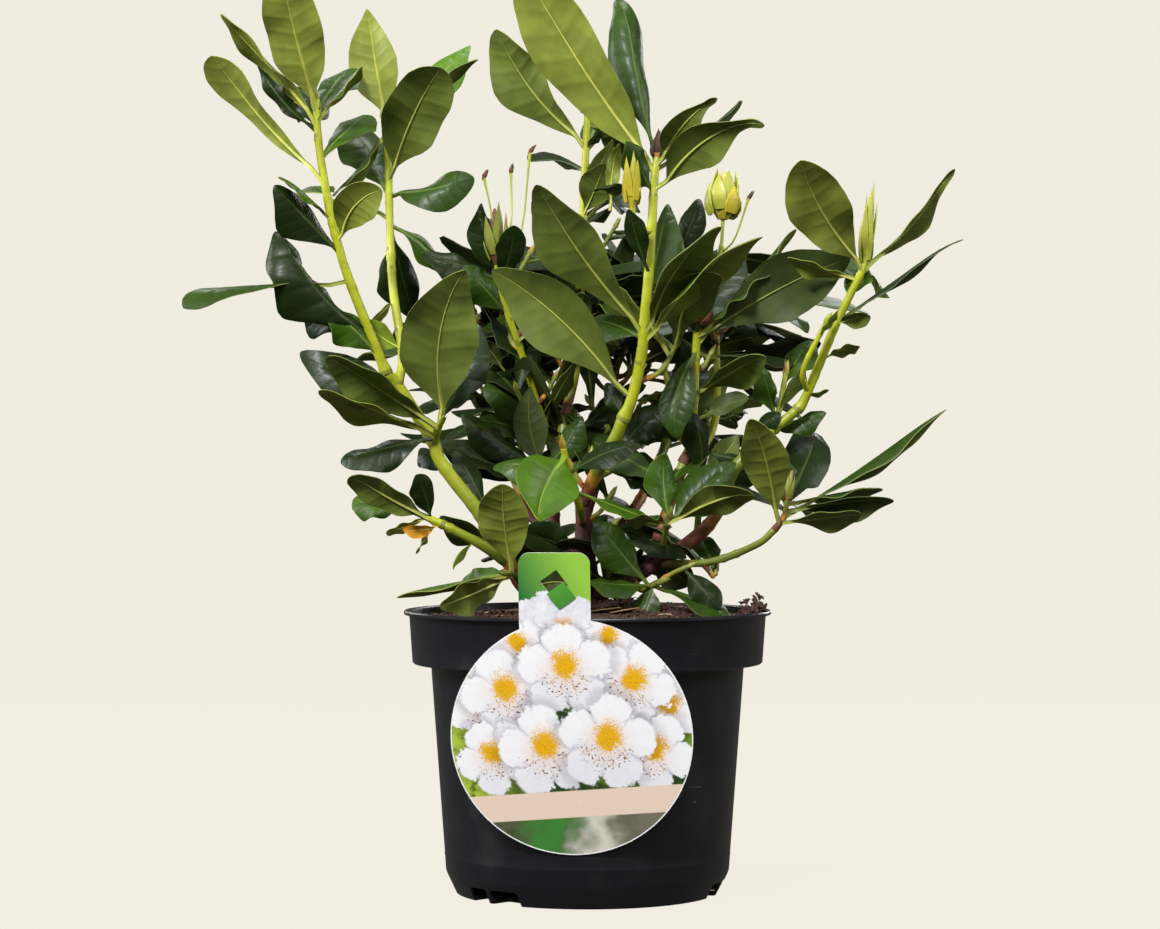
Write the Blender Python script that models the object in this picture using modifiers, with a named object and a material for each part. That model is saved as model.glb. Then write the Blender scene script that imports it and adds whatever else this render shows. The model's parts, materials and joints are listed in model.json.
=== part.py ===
"""A potted rhododendron: a round nursery pot with feet and drain slots, its bark soil, a hanging
picture label, the stems and boughs, and the masses of foliage.

Lengths are in millimetres and become metres where a mesh is made. X runs to the right of the
label, Y away from it and Z up, from the centre of the pot's underside.
"""

import math
import random
from collections import namedtuple

import bmesh
import bpy
from mathutils import Quaternion, Vector
from mathutils.bvhtree import BVHTree

MM = 0.001
GAP = 0.3
# The margin round a leaf or twig while it is tested, a little over GAP
LEAF_MARGIN = 0.5
NO_MERGE = 1e-5

# Pot: outer radii and heights
POT_HEIGHT = 176.0
POT_WALL = 2.0
POT_FLOOR = 3.0
LIP_RADIUS = 115.0
LIP_HEIGHT = 2.5
BAND_TOP_RADIUS = 111.5
BAND_BOTTOM_RADIUS = 109.5
BAND_BOTTOM = 143.0
WALL_TOP_RADIUS = 98.0
WALL_FOOT_RADIUS = 88.5
WALL_FOOT = 14.0
BASE_RADIUS = 82.5
POT_STEPS = 40
# Three pairs of drain slots, each pair with a rib between, that leave three broad feet
SLOT_TURNS = (-45.5, 74.5, 194.5)
SLOT_WIDTHS = (16.0, 22.0)
SLOT_RIB = 2.5
SLOT_HEIGHT = 9.0
SLOT_INNER_RADIUS = 68.0
# Soil
SOIL_TOP = 169.0
SOIL_EDGE = 164.5
SOIL_FLAT_RADIUS = 20.0
# Label: a round card with a tab that stands above the rim
CARD_RADIUS = 72.2
CARD_THICKNESS = 0.8
CARD_LOW_EDGE = 34.0
CARD_TURN = -5.4
TAB_HALF_WIDTH = 21.2
TAB_SIDE_STEP = -8.6
TAB_TOP = 112.0
TAB_CORNER = 7.0
HOLE_RISE = 93.5
HOLE_HALF_DIAGONAL = 8.5

# Leaves and shoots
GOLDEN_ANGLE = 137.5
LEAF_THICKNESS = 0.013
PETIOLE_SHARE = 0.12
PETIOLE_RADIUS = 1.3
# Half the blade's width along it, as shares of its length and of its greatest half width
BLADE_OUTLINE = ((0.0, 0.08), (0.27, 0.74), (0.58, 1.0), (0.86, 0.68))
SWINGS = (0, 8, -8, 16, -16, 25, -25)
PATH_STEPS = 2
TWIG_SIDES = 6
BOUGH_SIDES = 8
# Radii of a bud along its length, as shares of its greatest radius
BUD_SHAPE = (0.5, 1.0, 0.8, 0.12)
BUD_SINK = 4.0
# How far along a limb to look for the place where it leaves what it springs from
START_SEARCH = 28.0
# The least length of a limb's first span
SHORT_SPAN = 1.5

# A point of a limb is written (x, z, depth). x and z are read on the front view, drawn in
# perspective from EYE on the upright plane through the pot's axis; depth is how far the point
# lies behind that plane.
EYE = Vector((-4.7, -1900.0, 267.0))

Bough = namedtuple("Bough", "parent share through thick")
BOUGHS = {
    "bough_left": Bough("trunk", 0.18, [
        (-35, 188, -14), (-47, 202, -20), (-62, 229, -25), (-91, 267, -28), (-97, 282, -28),
        (-118, 315, -26), (-126, 324, -29)], (10.5, 7.0)),
    "bough_left_low": Bough("bough_left", 0.30, [
        (-67, 217, -32), (-90, 229, -38)], (6.4, 5.2)),
    "bough_centre": Bough("trunk", 1.0, [
        (5, 261, -8), (17, 283, -20), (22, 295, -25)], (8.6, 7.6)),
    "bough_back": Bough("trunk", 0.34, [
        (-17, 217, 18), (-21, 232, 26), (-20, 257, 34), (-14, 298, 46)], (8.4, 6.6)),
    "bough_right": Bough("trunk", 0.2, [
        (23, 193, -3), (40, 203, -7), (70, 223, -10), (84, 242, -12), (92, 264, -14),
        (111, 284, -16), (131, 301, -18)], (10.5, 6.2)),
    "bough_upright": Bough("bough_right", 0.24, [
        (49, 235, 4), (60, 268, 9)], (7.6, 6.4)),
    "bough_low_right": Bough("bough_right", 0.27, [
        (77, 206, -24), (106, 217, -35), (117, 226, -39)], (5.0, 4.0)),
    "bough_rear_left": Bough("bough_back", 0.3, [
        (-36, 236, 50), (-47, 264, 80), (-52, 296, 100)], (6.8, 5.6)),
    "bough_rear_middle": Bough("trunk", 0.85, [
        (6, 256, 34), (12, 280, 70), (16, 304, 94)], (7.0, 5.4)),
    "bough_rear_right": Bough("trunk", 0.62, [
        (24, 232, 40), (46, 272, 76), (56, 306, 98)], (7.6, 5.6)),
}
TRUNK = [(0, 195, 4), (-2, 213, 3), (-3, 242, 1)]
TRUNK_THICK = (17.0, 9.4)
TRUNK_FLARE = 6.0
FLARE_FADE = 7.0

# A leaf is written (share, clock, toward, length, width, face, bend). share is how far along its
# shoot it springs; clock is its heading on the front view, 0 to the right and 90 up; toward is how
# far it leans out of that view to the front. face turns the blade about its midrib: its underside
# faces the front at 0 and its upper side at 180, and a plus value turns the underside down on a
# leaf that heads right. bend is the arc of the midrib, plus where the tip curls to the underside.
Leaf = namedtuple("Leaf", "share clock toward length width face bend")
# A shoot's leaves, and its end bud as (length, thickness). stalks are bare flower stalks, each
# from the shoot's tip through two points.
Shoot = namedtuple("Shoot", "share through thick leaves bud stalks", defaults=((), (10, 4), ()))
# A mass: where its stem springs, the stem, its other shoots, and what the seeded rule adds: leaves
# on the far side of the stem, and sprays, which are twigs with a whorl of leaves each.
Mass = namedtuple("Mass", "bough stem shoots far_leaves sprays seed", defaults=((), 0, 0, 1))

MASSES = {
    "foliage_left_tall": Mass("bough_left", Shoot(1.0, [
        (-139, 356, -34), (-152, 390, -38), (-161, 424, -40), (-168, 464, -40), (-170, 489, -40)],
        (6.6, 4.6), [
            (0.73, 128, 8, 106, 36, -50, 10), (0.95, 119, 15, 93, 27, -68, 28),
            (0.99, 102, 26, 92, 34, -5, 10), (0.92, 126, -40, 72, 28, -150, 20),
            (0.98, 67, -40, 60, 26, 150, 20), (0.96, 53, 35, 54, 22, 80, 15),
            (0.52, 46, 30, 53, 26, 20, 15), (0.465, 130, 22, 60, 27, -146, 15),
            (0.60, 138, 30, 45, 20, -85, 10), (0.10, 122, 15, 104, 31, -140, 30),
            (0.14, 142, -25, 62, 28, -140, 20), (0.07, 132, 30, 52, 24, -148, 20),
            (0.37, 194, 20, 108, 22, -70, -6)], (14, 5)), far_leaves=3, seed=2),
    "foliage_left_inner": Mass("bough_left", Shoot(0.95, [
        (-116, 336, -18), (-122, 378, -8), (-124, 421, 0), (-125, 464, 4), (-127, 483, 5)],
        (6.0, 4.4), [
            (0.98, 98, 22, 74, 33, -10, 12), (0.72, 119, -28, 74, 32, -155, 15),
            (0.95, 227, 20, 58, 18, -70, 10), (0.78, 61, 35, 94, 37, 5, 10),
            (0.98, 48, -15, 80, 30, 150, 10), (0.95, 42, 10, 76, 20, 80, 10),
            (0.72, 18, 20, 62, 26, 118, 20), (0.62, -32, -25, 54, 26, 120, 20),
            (0.14, 140, 35, 30, 17, -15, 5), (0.33, 224, 20, 26, 13, -70, 5),
            (0.60, -74, -20, 64, 28, 160, 15)], (12, 5)), far_leaves=3, seed=3),
    "foliage_left_whorl": Mass("bough_left", Shoot(0.74, [
        (-94, 288, -42), (-92, 293, -50)], (5.0, 4.0), [
            (0.85, 79, 26, 112, 48, 0, 10), (0.80, 144, 24, 88, 32, -40, 10),
            (0.40, 153, 30, 88, 28, -60, 12), (0.30, 186, 10, 62, 26, -130, 25),
            (0.80, 73, -12, 72, 28, 160, 10), (0.75, 147, 0, 100, 32, -150, 20)]), seed=4),
    "foliage_left_low": Mass("bough_left_low", Shoot(1.0, [
        (-108, 237, -40), (-116, 240, -40)], (4.8, 3.2), [
            (0.35, 150, 22, 60, 20, -30, 5), (0.30, 105, 35, 34, 17, -150, 10),
            (0.40, 192, 10, 28, 9, -60, 20), (0.20, 235, 10, 24, 7, -60, 10),
            (0.85, 165, -30, 46, 18, -140, 15)], (8, 3.4)), seed=5),
    "foliage_base_left": Mass("bough_left", Shoot(0.22, [
        (-46, 198, -34), (-50, 199, -42)], (5.0, 3.6), [
            (0.85, 190, 5, 72, 17, -75, 4), (0.75, 183, -25, 46, 15, -150, 40),
            (0.70, 200, 22, 54, 24, -40, 8), (0.80, 94, 30, 68, 32, -12, 10)]), seed=6),
    "foliage_front": Mass("trunk", Shoot(0.8, [
        (-5, 240, -18), (-12, 262, -34), (-15, 277, -42)], (5.2, 4.0), [
            (0.94, 250, 42, 64, 41, 176, 24), (0.55, -18, 4, 57, 17, 115, 10),
            (0.75, 30, 10, 50, 22, 130, 30), (0.70, 165, -10, 52, 22, -130, 25)]), seed=7),
    "foliage_centre": Mass("bough_centre", Shoot(1.0, [
        (28, 309, -28), (34, 337, -32), (36, 362, -35), (39, 395, -37), (42, 447, -36),
        (44, 459, -35)], (7.4, 5.2), [
            (0.33, 123, 22, 124, 42, -35, 12), (0.34, 58, 35, 98, 34, 50, 10),
            (0.31, 45, 28, 110, 30, 62, 10), (0.09, 137, 10, 120, 42, -15, 8),
            (0.94, 121, 8, 152, 43, -38, 10), (0.97, 99, -12, 124, 32, -150, 20),
            (0.97, 48, 30, 64, 27, 20, 10), (0.96, 32, -12, 72, 15, 80, -15),
            (0.88, 31, 28, 93, 36, 25, 15), (0.98, 65, 0, 26, 9, 60, 0),
            (0.86, 117, 30, 40, 20, -150, 10), (0.46, 79, -20, 70, 28, 150, 8),
            (0.32, 151, -30, 48, 24, -150, 30), (0.90, 184, 20, 42, 12, -70, 10)], (18, 8)),
        [Shoot(0.72, [(30, 417, -46), (28, 430, -48)], (4.0, 3.6), (), (24, 9))],
        far_leaves=3, sprays=1, seed=8),
    "foliage_back": Mass("bough_back", Shoot(1.0, [
        (-7, 330, 55), (-5, 375, 62), (-3, 420, 66), (0, 487, 70)], (6.4, 4.6), [
            (0.88, 125, 10, 100, 38, -32, 10), (0.88, 49, 20, 22, 9, 60, 5),
            (0.84, -47, 20, 54, 14, 150, -10), (0.66, 67, 30, 42, 24, 10, 5),
            (0.75, 59, 15, 38, 14, 15, 0), (0.42, 113, -20, 52, 28, -150, 10)], (14, 7)),
        far_leaves=4, seed=9),
    "foliage_centre_left": Mass("bough_back", Shoot(0.72, [
        (-30, 301, 28), (-42, 339, 15), (-55, 376, 6), (-57, 394, 4)], (5.0, 3.8), [
            (0.93, 101, 10, 48, 22, -150, 5), (0.90, 73, 25, 40, 20, -150, 8),
            (0.92, 157, 5, 52, 24, -140, 20), (0.62, 36, 20, 60, 28, 30, 10),
            (0.16, 141, 12, 52, 24, -150, 15), (0.14, 162, 30, 60, 22, -130, 20),
            (0.75, 128, 30, 44, 22, -160, 25)], (32, 8), [
                [(-60, 423, 0), (-65, 447, -2)], [(-48, 417, 8), (-48, 450, 10)],
                [(-42, 411, 4), (-36, 463, 2)]]), far_leaves=4, sprays=1, seed=10),
    "foliage_centre_right": Mass("bough_upright", Shoot(1.0, [
        (65, 284, 8), (68, 339, 2), (69, 355, -2)], (6.2, 5.0), [
            (0.90, 28, 12, 110, 38, 12, 8), (0.50, 32, 38, 64, 26, 50, 10),
            (0.90, 88, 45, 46, 22, -170, 30), (0.85, 256, 15, 64, 26, -150, 15),
            (0.88, 66, -20, 72, 30, 140, 10), (0.86, 51, -5, 98, 26, 72, 5),
            (0.92, 41, 15, 62, 24, 75, 5)], (14, 9)),
        [Shoot(0.12, [(55, 290, 20), (49, 324, 26)], (3.8, 3.0), [
            (0.80, 190, 20, 24, 9, -60, 20), (0.85, 25, 20, 26, 9, 60, 20)], (8, 3.4))],
        seed=11),
    "foliage_back_right": Mass("bough_upright", Shoot(0.85, [
        (79, 290, 26), (81, 339, 32), (80, 376, 36), (84, 404, 40)], (5.0, 3.6), [
            (0.15, -3, 30, 66, 20, 130, 15), (0.62, 70, -45, 80, 30, 140, 15),
            (0.60, 110, -40, 76, 28, -140, 15)], (26, 13), [
                [(92, 408, 36), (101, 434, 34)]]), far_leaves=2, seed=12),
    "foliage_right": Mass("bough_right", Shoot(1.0, [
        (136, 308, -19), (149, 339, -24), (158, 360, -27), (174, 392, -30)], (6.0, 4.6), [
            (0.96, 123, 33, 96, 37, -12, 10), (0.97, 44, 20, 86, 28, 62, -10),
            (0.62, 35, 5, 93, 26, 80, 5), (0.90, 127, -35, 42, 26, -150, 10),
            (0.90, 160, 10, 48, 16, -60, 10), (0.60, 10, 40, 26, 13, 40, 0),
            (0.35, 32, 20, 28, 13, 60, 30), (0.75, 69, -20, 30, 20, 140, 10),
            (0.10, 17, 20, 16, 8, 60, 0)], (50, 8)),
        [Shoot(0.14, [(135, 326, -31), (149, 355, -37)], (3.6, 3.0), [
            (0.80, 60, 20, 22, 10, 60, 10)], (8, 3.4))], far_leaves=1, seed=15),
    "foliage_right_inner": Mass("bough_right", Shoot(0.76, [
        (117, 294, 2), (121, 306, 8), (124, 323, 12)], (4.0, 3.2), [
            (0.60, 66, 15, 38, 22, 60, 10), (0.55, 105, 20, 36, 20, -150, 10),
            (0.90, 60, -20, 38, 24, 140, 10), (0.40, 20, 20, 40, 18, 130, 10)], (10, 4)),
        far_leaves=1, seed=14),
    "foliage_low_right": Mass("bough_low_right", Shoot(1.0, [
        (123, 234, -39), (125, 244, -38)], (3.8, 3.2), [
            (0.30, 9, 20, 52, 22, 60, 5), (0.70, 9, 12, 68, 26, 50, 10),
            (0.55, 30, 5, 119, 28, 78, -8), (0.95, 10, 0, 60, 14, 80, 5),
            (0.25, 107, 33, 86, 34, -10, 12), (0.75, 96, -25, 38, 26, -160, 10)], (20, 5)),
        far_leaves=3, seed=15),
    "foliage_right_front": Mass("bough_right", Shoot(0.30, [
        (48, 220, -22), (51, 233, -32)], (4.4, 3.4), [
            (0.92, 23, 25, 64, 25, 40, 15), (0.88, 162, 24, 42, 22, -60, 15),
            (0.92, 90, -5, 44, 24, -160, 10), (0.88, 45, 0, 58, 32, 150, 15)]), seed=16),
    "foliage_base_right": Mass("bough_right", Shoot(0.17, [
        (33, 189, -17), (38, 190, -28), (45, 193, -36)], (4.8, 3.6), [
            (0.88, -22, 18, 58, 24, 110, 14), (0.75, 126, 12, 54, 28, -150, 15),
            (0.80, 170, 25, 44, 22, -120, 10), (0.85, 250, 25, 26, 18, -150, 10)]),
        [Shoot(0.80, [(54, 199, -41), (63, 203, -44)], (3.4, 3.0), [
            (0.90, -48, 10, 34, 19, 160, 10)], (6, 3))], seed=17),
    "foliage_middle_left": Mass("bough_back", Shoot(0.42, [
        (-27, 255, 18), (-30, 264, 8)], (4.6, 3.6), [
            (0.95, 139, 12, 62, 25, -145, 20), (0.70, 157, 18, 74, 24, -150, 12),
            (0.60, 159, 28, 80, 22, -95, 6), (0.90, 97, 0, 56, 22, 5, 10),
            (0.85, 60, 10, 46, 20, 150, 20)]), far_leaves=1, seed=18),
    "foliage_middle": Mass("bough_centre", Shoot(0.30, [
        (13, 262, 4), (18, 266, 8)], (4.4, 3.6), [
            (0.90, 48, -15, 56, 22, 150, 15), (0.80, -26, 5, 42, 17, 120, 15),
            (0.55, 152, -20, 46, 24, 20, 10), (0.75, 163, -35, 52, 22, -150, 20)]), seed=19),
    "foliage_middle_right": Mass("bough_right", Shoot(0.44, [
        (70, 244, 4), (72, 258, 12)], (4.4, 3.6), [
            (0.95, 53, -22, 46, 22, 20, 10), (0.90, 100, 10, 50, 20, -150, 15),
            (0.85, 20, -25, 58, 22, 130, 20), (0.80, 140, -30, 60, 24, -150, 20)]),
        far_leaves=1, seed=20),
    "foliage_rear_left": Mass("bough_rear_left", Shoot(1.0, [
        (-60, 330, 112), (-64, 362, 118)], (5.4, 4.2), (), (12, 5)), far_leaves=5, sprays=2, seed=21),
    "foliage_rear_middle": Mass("bough_rear_middle", Shoot(1.0, [
        (18, 330, 112), (20, 362, 126)], (5.2, 4.2), (), (12, 5)), far_leaves=5, sprays=3, seed=22),
    "foliage_rear_right": Mass("bough_rear_right", Shoot(1.0, [
        (66, 338, 110), (72, 366, 116)], (5.4, 4.2), (), (12, 5)), far_leaves=5, sprays=3, seed=23),
}
# What the seeded rule draws from
FAR_LENGTH = (72, 96)
FAR_WIDTH = 0.34
FAR_TOWARD = (-75, -35)
FAR_SPREAD = 0.55
SPRAY_LENGTH = (42, 62)
SPRAY_LEAVES = 5
SPRAY_LEAF = (62, 88)
# Box that the leaves of the rear masses stay in, beside and above their stem
REACH = 118.0
REAR_TOP = 432.0

FINISHES = {
    "pot": ((0.013, 0.013, 0.016), 0.36),
    "soil": ((0.035, 0.02, 0.013), 0.95),
    "label": ((0.82, 0.83, 0.8), 0.3),
    "trunk": ((0.09, 0.028, 0.016), 0.75),
    "bough": ((0.22, 0.2, 0.03), 0.5),
    "foliage": ((0.09, 0.14, 0.025), 0.45),
}

Blade = namedtuple("Blade", "root heading under length width bend")


def seen(x, z, depth):
    """The point that the front view shows at x and z, at this depth."""
    scale = 1 + depth / -EYE.y
    return Vector((EYE.x + (x - EYE.x) * scale, depth, EYE.z + (z - EYE.z) * scale))


def toward_front(direction):
    """The unit vector across this direction that points most nearly to the front."""
    front = Vector((0, -1, 0))
    return (front - front.dot(direction) * direction).normalized()


class Path:
    """The smooth axis of a limb through its points, read by the share of its length."""

    def __init__(self, points, thick):
        self.dots = []
        ends = [points[0] * 2 - points[1], *points, points[-1] * 2 - points[-2]]
        for before, start, end, after in zip(ends, ends[1:], ends[2:], ends[3:]):
            for step in range(PATH_STEPS):
                t = step / PATH_STEPS
                self.dots.append(0.5 * (
                    2 * start + t * (end - before)
                    + t * t * (2 * before - 5 * start + 4 * end - after)
                    + t ** 3 * (3 * start - before - 3 * end + after)))
        self.dots.append(points[-1])
        self.lengths = [0.0]
        for start, end in zip(self.dots, self.dots[1:]):
            self.lengths.append(self.lengths[-1] + (end - start).length)
        self.length = self.lengths[-1]
        self.thick = thick

    def at(self, share):
        """The point at this share of the length."""
        aim = share * self.length
        for i in range(1, len(self.dots) - 1):
            if self.lengths[i] >= aim:
                break
        else:
            i = len(self.dots) - 1
        part = (aim - self.lengths[i - 1]) / (self.lengths[i] - self.lengths[i - 1])
        return self.dots[i - 1].lerp(self.dots[i], part)

    def heading(self, share):
        """The direction of growth at this share of the length."""
        low = min(share, 0.98)
        return (self.at(low + 0.02) - self.at(low)).normalized()

    def radius(self, share):
        """Half the thickness at this share of the length."""
        return (self.thick[0] + (self.thick[1] - self.thick[0]) * share) / 2

    def stations(self, start=0.0):
        """Points and radii from this share of the length to the tip."""
        shares = [start]
        shares += [s / self.length for s in self.lengths if s > start * self.length + SHORT_SPAN]
        return [self.at(s) for s in shares], [self.radius(s) for s in shares]


class Solids:
    """Everything made so far by its owner's name, for finding what a new piece would touch."""

    def __init__(self):
        self.trees = {}

    def add(self, owner, solid):
        """Takes in an object, as it will be built."""
        graph = bpy.context.evaluated_depsgraph_get()
        mesh = solid.evaluated_get(graph).to_mesh()
        points = [solid.matrix_world @ v.co / MM for v in mesh.vertices]
        faces = [list(face.vertices) for face in mesh.polygons]
        self.trees.setdefault(owner, []).append(BVHTree.FromPolygons(points, faces))

    def others(self, owner):
        """The trees of every owner but this one."""
        return [tree for name, trees in self.trees.items() if name != owner for tree in trees]

    def gap(self, point):
        """How far the point lies outside the nearest surface, less than 0 inside it."""
        near, normal, _, distance = min(
            (tree.find_nearest(point) for tree in self.others(None)), key=lambda found: found[3])
        return math.copysign(distance, (point - near).dot(normal))

    def touch(self, mesh, owner):
        """Whether this mesh cuts anything of another owner."""
        tree = BVHTree.FromBMesh(mesh)
        return any(tree.overlap(other) for other in self.others(owner))

    def clear(self, points, radii, owner):
        """Whether a twig along these points keeps clear of everything of another owner."""
        for start, end, radius in zip(points, points[1:], radii):
            for part in (0.0, 0.25, 0.5, 0.75, 1.0):
                spot = start.lerp(end, part)
                if any(tree.find_nearest(spot, radius + LEAF_MARGIN)[0] for tree in self.others(owner)):
                    return False
        return True


def material(name, finish):
    """A plain finish for one part."""
    color, roughness = FINISHES[finish]
    made = bpy.data.materials.new(name)
    made.use_nodes = True
    shader = made.node_tree.nodes["Principled BSDF"]
    shader.inputs["Base Color"].default_value = (*color, 1)
    shader.inputs["Roughness"].default_value = roughness
    return made


def object_from(mesh, name, home):
    """A new object for a bmesh in millimetres."""
    bmesh.ops.scale(mesh, vec=(MM, MM, MM), verts=mesh.verts)
    data = bpy.data.meshes.new(name)
    mesh.to_mesh(data)
    mesh.free()
    made = bpy.data.objects.new(name, data)
    home.objects.link(made)
    return made


def applied(solid):
    """Puts a copy of the evaluated mesh in place of the object's mesh and modifiers."""
    bpy.context.view_layer.update()
    graph = bpy.context.evaluated_depsgraph_get()
    mesh = bpy.data.meshes.new_from_object(solid.evaluated_get(graph))
    solid.modifiers.clear()
    solid.data = mesh
    return solid


def turned(name, profile, home):
    """A solid of revolution from a profile of (radius, height)."""
    mesh = bmesh.new()
    dots = [mesh.verts.new((radius, 0, height)) for radius, height in profile]
    for start, end in zip(dots, dots[1:]):
        mesh.edges.new((start, end))
    solid = object_from(mesh, name, home)
    screw = solid.modifiers.new("turn", "SCREW")
    screw.steps = POT_STEPS
    screw.render_steps = POT_STEPS
    screw.use_merge_vertices = True
    screw.merge_threshold = NO_MERGE
    return solid


def tube(name, points, radii, sides, home):
    """A limb: a curve with a round bevel and filled caps, made a mesh with its caps welded."""
    curve = bpy.data.curves.new(name, "CURVE")
    curve.dimensions = "3D"
    curve.bevel_depth = MM
    curve.bevel_resolution = sides // 2 - 2
    curve.use_fill_caps = True
    spline = curve.splines.new("POLY")
    spline.points.add(len(points) - 1)
    for dot, point, radius in zip(spline.points, points, radii):
        dot.co = (*(point * MM), 1)
        dot.radius = radius
    limb = bpy.data.objects.new(name, curve)
    home.objects.link(limb)
    bpy.context.view_layer.update()
    data = bpy.data.meshes.new_from_object(limb.evaluated_get(bpy.context.evaluated_depsgraph_get()))
    place = limb.matrix_world.copy()
    bpy.data.objects.remove(limb)
    mesh = bmesh.new()
    mesh.from_mesh(data)
    bmesh.ops.remove_doubles(mesh, verts=mesh.verts, dist=NO_MERGE)
    mesh.to_mesh(data)
    mesh.free()
    solid = bpy.data.objects.new(name, data)
    solid.matrix_world = place
    home.objects.link(solid)
    return solid


def make_pot(home, cutters):
    """The pot: a turned shell with a collar and lip, cut by the drain slots."""
    inner_band = BAND_BOTTOM_RADIUS - POT_WALL
    pot = turned("pot", [
        (0, POT_FLOOR), (BASE_RADIUS - 1, POT_FLOOR),
        (WALL_FOOT_RADIUS - POT_WALL, WALL_FOOT), (WALL_TOP_RADIUS - POT_WALL, BAND_BOTTOM + POT_WALL),
        (inner_band, BAND_BOTTOM + POT_WALL), (BAND_TOP_RADIUS - POT_WALL, POT_HEIGHT),
        (LIP_RADIUS - 0.6, POT_HEIGHT), (LIP_RADIUS, POT_HEIGHT - 0.7),
        (LIP_RADIUS, POT_HEIGHT - LIP_HEIGHT), (BAND_TOP_RADIUS, POT_HEIGHT - LIP_HEIGHT - 1),
        (BAND_BOTTOM_RADIUS, BAND_BOTTOM), (WALL_TOP_RADIUS, BAND_BOTTOM),
        (WALL_FOOT_RADIUS, WALL_FOOT), (BASE_RADIUS, 0), (0, 0)], home)
    pot.data.materials.append(material("pot_plastic", "pot"))
    deep = WALL_FOOT_RADIUS + 12 - SLOT_INNER_RADIUS
    for turn in SLOT_TURNS:
        for side, width in zip((-1, 1), SLOT_WIDTHS):
            mesh = bmesh.new()
            bmesh.ops.create_cube(mesh, size=1)
            bmesh.ops.scale(mesh, vec=(width, deep, SLOT_HEIGHT * 2), verts=mesh.verts)
            across = side * (width + SLOT_RIB) / 2
            bmesh.ops.translate(mesh, vec=(across, -SLOT_INNER_RADIUS - deep / 2, 0), verts=mesh.verts)
            turning = Quaternion((0, 0, 1), math.radians(turn)).to_matrix()
            bmesh.ops.rotate(mesh, matrix=turning, verts=mesh.verts)
            cutter = object_from(mesh, "drain_cutter", cutters)
            cutter.hide_render = True
            cutter.display_type = "WIRE"
    cut = pot.modifiers.new("drain_slots", "BOOLEAN")
    cut.operation = "DIFFERENCE"
    cut.operand_type = "COLLECTION"
    cut.collection = cutters
    applied(pot)
    for cutter in list(cutters.objects):
        bpy.data.objects.remove(cutter)
    return pot


def make_soil(home):
    """The soil: it fills the pot to just under the lip, a little higher at the middle."""
    clear = GAP + 0.1
    soil = turned("soil", [
        (0, SOIL_TOP), (SOIL_FLAT_RADIUS, SOIL_TOP), (65, SOIL_TOP - 1.5), (104, SOIL_EDGE),
        (BAND_BOTTOM_RADIUS - POT_WALL - clear, BAND_BOTTOM + POT_WALL + clear),
        (WALL_TOP_RADIUS - POT_WALL - clear, BAND_BOTTOM + POT_WALL + clear),
        (WALL_FOOT_RADIUS - POT_WALL - clear, WALL_FOOT),
        (BASE_RADIUS - 1 - clear, POT_FLOOR + clear), (0, POT_FLOOR + clear)], home)
    soil.data.materials.append(material("soil_bark", "soil"))
    return soil


def card_outline():
    """The label's outline in its own plane, from the disc's centre: the disc with its tab."""
    left = TAB_SIDE_STEP - TAB_HALF_WIDTH
    right = TAB_SIDE_STEP + TAB_HALF_WIDTH
    start = math.acos(left / CARD_RADIUS)
    end = math.acos(right / CARD_RADIUS) + 2 * math.pi
    steps = 44
    dots = []
    for i in range(steps + 1):
        angle = start + (end - start) * i / steps
        dots.append((CARD_RADIUS * math.cos(angle), CARD_RADIUS * math.sin(angle)))
    for side, first in ((right, 0), (left, 90)):
        middle = side - math.copysign(TAB_CORNER, side - TAB_SIDE_STEP)
        for i in range(5):
            angle = math.radians(first + 90 * i / 4)
            dots.append((middle + TAB_CORNER * math.cos(angle),
                         TAB_TOP - TAB_CORNER + TAB_CORNER * math.sin(angle)))
    return dots


def make_label(home):
    """The label: a flat card with a square hole, leaning on the pot's lip and collar."""
    curve = bpy.data.curves.new("label", "CURVE")
    curve.dimensions = "2D"
    curve.fill_mode = "BOTH"
    curve.extrude = CARD_THICKNESS / 2 * MM
    hole = [(TAB_SIDE_STEP + HOLE_HALF_DIAGONAL * x, HOLE_RISE + HOLE_HALF_DIAGONAL * y)
            for x, y in ((1, 0), (0, 1), (-1, 0), (0, -1))]
    for outline in (card_outline(), hole):
        spline = curve.splines.new("POLY")
        spline.points.add(len(outline) - 1)
        for dot, (x, y) in zip(spline.points, outline):
            dot.co = (x * MM, y * MM, 0, 1)
        spline.use_cyclic_u = True
    label = bpy.data.objects.new("label", curve)
    home.objects.link(label)
    lean = math.atan2(LIP_RADIUS - BAND_BOTTOM_RADIUS, POT_HEIGHT - LIP_HEIGHT - BAND_BOTTOM)
    rise = CARD_LOW_EDGE + CARD_RADIUS * math.cos(lean)
    clear = (GAP + CARD_THICKNESS / 2) / math.cos(lean)
    out = BAND_BOTTOM_RADIUS + (rise - BAND_BOTTOM) * math.tan(lean) + clear
    label.rotation_euler = (math.pi / 2 + lean, 0, math.radians(CARD_TURN))
    spot = Quaternion((0, 0, 1), math.radians(CARD_TURN)) @ Vector((0, -out, rise))
    label.location = spot * MM
    label.data.materials.append(material("label_card", "label"))
    return label


def make_trunk(home, solids):
    """The trunk: cut flat just above the soil, flared at its foot, up to the fork."""
    foot = Vector((0, 4, SOIL_TOP + GAP))
    path = Path([foot, foot + Vector((0, 0, 5)), *(seen(*dot) for dot in TRUNK)], TRUNK_THICK)
    points, radii = path.stations()
    for i, point in enumerate(points):
        radii[i] += TRUNK_FLARE / 2 * math.exp(-(point.z - foot.z) / FLARE_FADE)
    trunk = tube("trunk", points, radii, BOUGH_SIDES, home)
    trunk.data.materials.append(material("old_wood", "trunk"))
    solids.add("trunk", trunk)
    return path


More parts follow.
